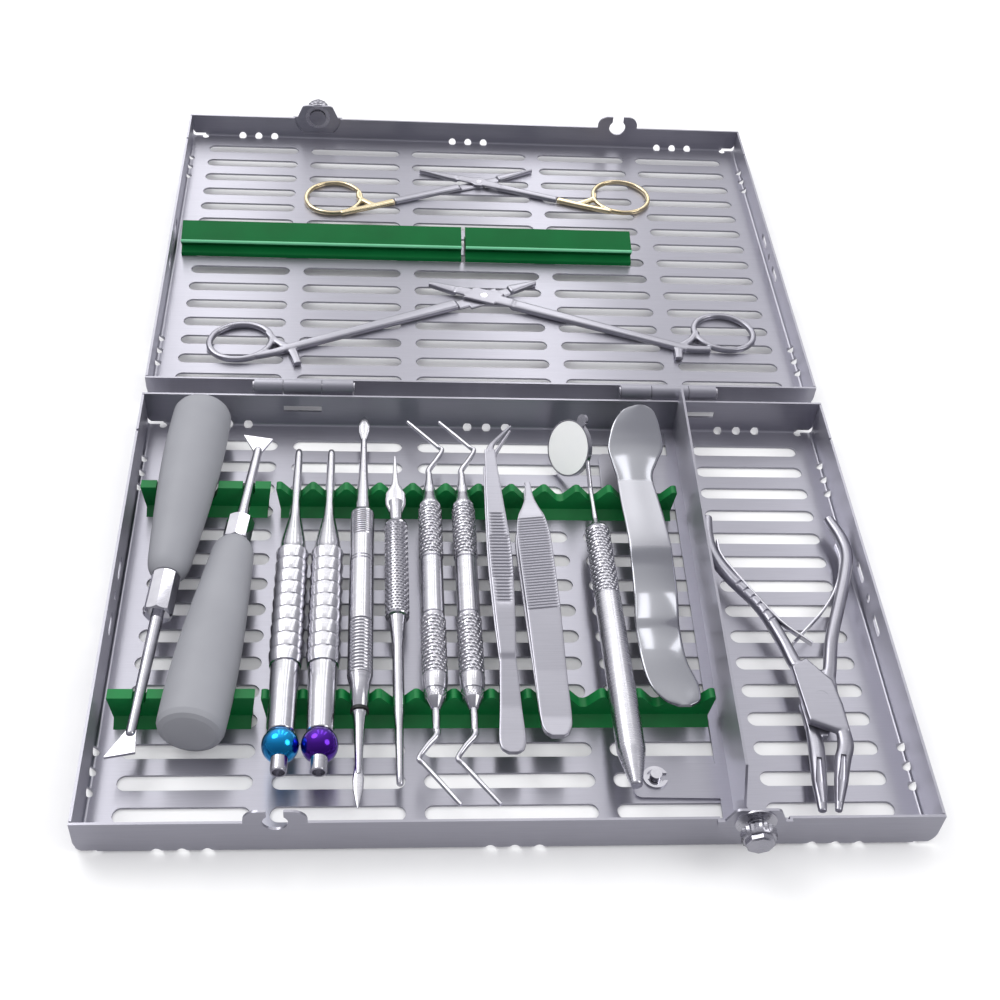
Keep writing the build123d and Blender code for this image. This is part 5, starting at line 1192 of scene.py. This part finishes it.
def scissor_half(side, shank, tip, upper, body, bore):
    line = [shank, tuple(np.array(shank) * 0.5 + np.array(SCISSOR_PIVOT) * 0.5), SCISSOR_PIVOT]
    line += [tuple(np.array(tip) * 0.5 + np.array(SCISSOR_PIVOT) * 0.5), tip]
    widths = [3.5, 3.9, 5.4, 3.8, 0.9]
    shapes = [lap_bar(line, widths, SCISSOR_PIVOT, SCISSOR_REST, SCISSOR_HIGH, SCISSOR_LAP, upper)]
    low, high = (SCISSOR_MID + 0.05, SCISSOR_HIGH) if upper else (SCISSOR_REST, SCISSOR_MID - 0.05)
    shapes.append(pin(SCISSOR_PIVOT, 3.6, low, high))
    made = forged(f"scissors_{side}_forged", shapes, arm_steel, voxel=0.22)
    return install(cut(made, [pin(SCISSOR_PIVOT, bore, 0, 20)], arm_steel), body, f"scissors_{side}")


def gold_ring(side, ring, angle, sizes, struts, body):
    shapes = [oval_ring((*ring, SCISSOR_MID), *sizes, angle, 2.1, SCISSOR_HIGH - SCISSOR_REST - 0.05)]
    for points, widths in struts:
        shapes.append(bar(points, widths, SCISSOR_REST + 0.05, SCISSOR_HIGH - 0.05))
    made = forged(f"scissors_{side}_gold", shapes, ring_gold, voxel=0.22)
    return install(made, body, f"scissors_{side}_ring")


scissor_half("left", (-37.9, 147.65), (31.3, 177.2), False, "scissors_lower_half", 1.55)
scissor_half("right", (41.9, 152.65), (-25.3, 174.2), True, "scissors_upper_half", 1.6)
gold_ring(
    "left", (-67.3, 149.2), 23, (14.4, 13.6),
    [
        ([(-63.5, 136.6), (-52.0, 141.4), (-38.2, 147.5)], [2.8, 3.0, 3.5]),
        ([(-55.2, 154.0), (-54.4, 149.0), (-48.0, 143.6)], [2.8, 2.8, 3.4]),
    ],
    "scissors_lower_half",
)
gold_ring(
    "right", (74.1, 156.4), -18, (14.8, 14.2),
    [
        ([(68.0, 143.8), (55.0, 147.9), (42.2, 152.5)], [2.8, 3.0, 3.5]),
        ([(61.0, 158.6), (60.0, 154.0), (52.6, 149.2)], [2.8, 2.8, 3.4]),
    ],
    "scissors_upper_half",
)

# %% [markdown]
# ## Rongeur
# The rongeur's halves are forged bars with round satin handles. The upper half's plate covers the lower
# one's, and the jaws are hollow cups. Two leaf springs cross between the handles and hold them apart.
# They are stiff here: each rides on its own half when the pivot turns.

# %% Rongeur halves
RONGEUR_PIVOT, RONGEUR_Z = (110.8, -152.0), 8.0


def from_pivot(points):
    return [(RONGEUR_PIVOT[0] + x, RONGEUR_PIVOT[1] + y, RONGEUR_Z + z) for x, y, z in points]


def plan_from_pivot(points):
    return [(RONGEUR_PIVOT[0] + x, RONGEUR_PIVOT[1] + y) for x, y in points]


def cup(points, radii):
    """Hollow of a jaw, a ball dragged along the jaw's upper face."""
    return sweep(from_pivot(points), radii, radii, step=0.6, sides=16)


ROUND = 2.1
HANDLE_BAR = [4.0] + [4.9] * 5
left_handle = sweep(from_pivot([
    (-26.8, 89.0, 0), (-28.2, 78.0, 0), (-27.4, 69.0, 0), (-23.4, 59.0, 0), (-13.8, 43.5, 0), (-8.4, 27.5, 0),
    (-6.0, 16.0, 1.0), (-3.0, 10.0, 1.6),
]), HANDLE_BAR + [5.2, 5.6], HANDLE_BAR + [4.2, 3.0], step=1.0, sides=28, power=ROUND)
left_plate = slab(plan_from_pivot([
    (-8.2, 14.2), (-2.2, 17.6), (5.8, 7.5), (7.2, -3.7), (7.2, -14.8), (2.8, -14.4), (-6.5, -10.2),
]), RONGEUR_Z + 0.1, RONGEUR_Z + 3.3, 0.7)
left_jaw = sweep(from_pivot([
    (5.0, -11.0, 1.7), (4.8, -19.0, 1.2), (2.6, -25.0, 0.8), (0.2, -33.5, 0.4), (-3.0, -44.6, 0),
]), [5.0, 5.8, 5.8, 4.9, 2.4], [3.2, 4.2, 4.5, 3.8, 2.2], step=0.8, sides=24)
made = forged("rongeur_left_forged", [left_handle, left_plate, left_jaw], arm_steel, voxel=0.26)
notches = []
for k in range(6):
    x, y = -20.2 + k * 2.1, 53.6 - k * 3.35
    ends = [(x - 4.5, y - 2.8, 2.9), (x + 4.5, y + 2.8, 2.9)]
    notches.append(sweep(from_pivot(ends), [1.5, 1.5], [2.6, 2.6], sides=10))
cut(made, [pin(RONGEUR_PIVOT, 2.5, 0, 30)], arm_steel)
cut(made, notches, arm_steel)
cut(made, [cup([(2.6, -24.0, 3.1), (0.4, -33.0, 2.4), (-2.2, -41.5, 1.6)], [1.8, 3.2, 1.6])], arm_steel)
install(made, "rongeur_upper_half", "rongeur_left")

right_handle = sweep(from_pivot([
    (21.8, 89.0, 0), (24.8, 78.0, 0), (25.0, 69.0, 0), (21.8, 58.0, 0), (16.2, 43.5, 0), (10.2, 28.0, 0),
    (7.0, 15.0, -1.2), (4.6, 8.0, -1.6),
]), HANDLE_BAR + [5.0, 5.4], HANDLE_BAR + [4.2, 3.0], step=1.0, sides=28, power=ROUND)
right_plate = slab(plan_from_pivot([
    (3.5, 14.5), (8.6, 16.0), (7.6, 1.0), (0.2, -14.6), (-6.6, -14.8), (-7.2, 0.0), (-2.8, 8.6),
]), RONGEUR_Z - 3.3, RONGEUR_Z - 0.1, 0.6)
right_jaw = sweep(from_pivot([
    (-4.5, -10.5, -1.7), (-4.8, -17.5, -1.2), (-5.6, -23.5, -0.8), (-7.1, -34.0, -0.4), (-8.4, -44.6, 0),
]), [5.0, 5.8, 5.8, 5.2, 2.9], [3.2, 4.2, 4.5, 3.8, 2.2], step=0.8, sides=24)
made = forged("rongeur_right_forged", [right_handle, right_plate, right_jaw], arm_steel, voxel=0.26)
cut(made, [pin(RONGEUR_PIVOT, 2.55, -5, RONGEUR_Z + 1)], arm_steel)
cut(made, [cup([(-5.6, -24.0, 1.5), (-7.0, -33.0, 1.6), (-7.9, -41.5, 1.6)], [1.8, 3.4, 1.8])], arm_steel)
install(made, "rongeur_lower_half", "rongeur_right")

# %% Leaf springs
LEAF = 0.85
for side, rise, points, body in (
    (
        "left", 0.1, [(-25.2, 75.6), (-24.8, 68.0), (-19.8, 57.0), (-8.2, 36.0), (2.0, 24.9)],
        "rongeur_upper_half",
    ),
    (
        "right", -2.3, [(22.2, 75.6), (22.4, 68.0), (18.6, 56.0), (10.8, 43.2), (-4.3, 26.8)],
        "rongeur_lower_half",
    ),
):
    leaf = sweep(
        from_pivot([(x, y, rise + 1.1) for x, y in points]), [LEAF] * 5, [2.2] * 5, step=0.7, power=8.0,
    )
    install(piece(f"rongeur_{side}_leaf", *leaf, tip_steel), body, f"rongeur_{side}_spring")

# %% [markdown]
# ## Bars in the lid
# The bars are extruded silicone: a foot, a waist, and a head whose upper face leans towards the front and
# ends at a ledge painted a paler green, a painted highlight along its lit edge.

# %% Lid bars
BAR_Y, BAR_FOOT_Z = 110.4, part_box("lid_bar_left")[0][2] / MM
BAR_SECTION = [
    (
        -8.5, 0.05,
    ), (8.5, 0.05), (8.5, 2.2), (4.2, 3.4), (3.6, 5.4), (6.6, 7.4), (6.7, 8.9), (6.3, 9.1), (5.6, 9.0),
    (
        -5.3, 6.6,
    ), (-5.7, 7.1), (-6.4, 7.2), (-6.7, 6.8), (-6.6, 6.1), (-4.9, 3.6), (-4.4, 3.2), (-8.3, 2.0), (-8.5, 1.6),
]
for side in ("left", "right"):
    low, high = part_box(f"lid_bar_{side}")
    vertices = []
    for x in (low[0] / MM, high[0] / MM):
        vertices += [(x, BAR_Y + y, BAR_FOOT_Z + z) for y, z in BAR_SECTION]
    bar_made = piece(
        f"lid_bar_{side}_soft", vertices, rings_to_faces(2, len(BAR_SECTION)), bar_silicone, flat_angle=25,
    )
    bar_made.data.materials.append(ledge_painted_highlight)
    # The front ledge's faces take the paler green, a painted highlight.
    for face in bar_made.data.polygons:
        middle = face.center / MM
        if face.normal.x ** 2 < 0.5 and middle.y < BAR_Y - 5.2 and middle.z > BAR_FOOT_Z + 6.3:
            face.material_index = 1
    install(bar_made, "lid", f"lid_bar_{side}")
    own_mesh(bar_made)

# %% [markdown]
# ## Push-buttons
# Each push-button is a knurled flange with an eight-sided cap, on a shaft with a coil spring round it.

# %% Buttons and springs
BUTTON_X, BUTTON_Z = 76.5, 17.2
SHAFT_RADIUS, BOLT_DISC = 2.3, 4.0
TURNS, COIL_RADIUS, WIRE = 2.5, SHAFT_RADIUS + 0.45, 0.42
COIL_POINTS, COIL_START, COIL_LENGTH = 90, -206.6, 2.2


def turned_ribs(stations, facing, ribs):
    """A lathe form along Y at a button, straight ribs where a station gives a rib depth."""
    vertices = []
    for y, radius, depth in stations:
        for side in range(2 * ribs):
            angle = math.pi * side / ribs
            reach = radius - (depth if side % 2 else 0)
            x = BUTTON_X + reach * math.cos(angle)
            vertices.append((facing * x, facing * y, BUTTON_Z + reach * math.sin(angle)))
    return vertices, rings_to_faces(len(stations), 2 * ribs)


def cap_with_ridges(start, stop, radius, facing):
    """Eight flats with a ridge upwards."""
    vertices = []
    for y, reach in ((start, radius), (stop + 0.5, radius), (stop, radius - 0.6)):
        for side in range(8):
            angle = math.tau * (side + 2) / 8
            x = BUTTON_X + reach * math.cos(angle)
            vertices.append((facing * x, facing * y, BUTTON_Z + reach * math.sin(angle)))
    return vertices, rings_to_faces(3, 8)


for name, facing, body, joint in (
    ("base", 1, "base_push_button", "base_latch"), ("lid", -1, "lid_push_button", "lid_latch"),
):
    shaft = [
        (-203.6, BOLT_DISC, 0), (-204.7, BOLT_DISC, 0), (-204.8, SHAFT_RADIUS, 0), (-209.1, SHAFT_RADIUS, 0),
    ]
    rim = [
        (-209.15, 5.3, 0.0), (-209.4, 5.8, 0.55), (-212.4, 5.8, 0.55), (-212.7, 5.3, 0.0), (-212.8, 5.0, 0.0),
    ]
    parts = [
        piece("shaft", *turned_ribs(shaft, facing, 24), button_steel),
        piece("rim", *turned_ribs(rim, facing, 20), button_steel),
    ]
    parts.append(piece("cap", *cap_with_ridges(-212.7, -214.8, 4.9, facing), button_steel, flat_angle=20))
    install(joined(f"{name}_button_knurled", parts, button_steel), body, f"{name}_button")
    coil = []
    for k in range(COIL_POINTS):
        around = math.tau * TURNS * k / (COIL_POINTS - 1)
        y = COIL_START - COIL_LENGTH * k / (COIL_POINTS - 1)
        x = BUTTON_X + COIL_RADIUS * math.cos(around)
        coil.append(Vector((facing * x, facing * y, BUTTON_Z + COIL_RADIUS * math.sin(around))))
    wires = [WIRE] * COIL_POINTS
    spring = piece(f"{name}_coil", *skin(coil, wires, wires, 10, 2.0), spring_steel)
    install(spring, name, f"{name}_button_spring")
    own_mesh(spring)
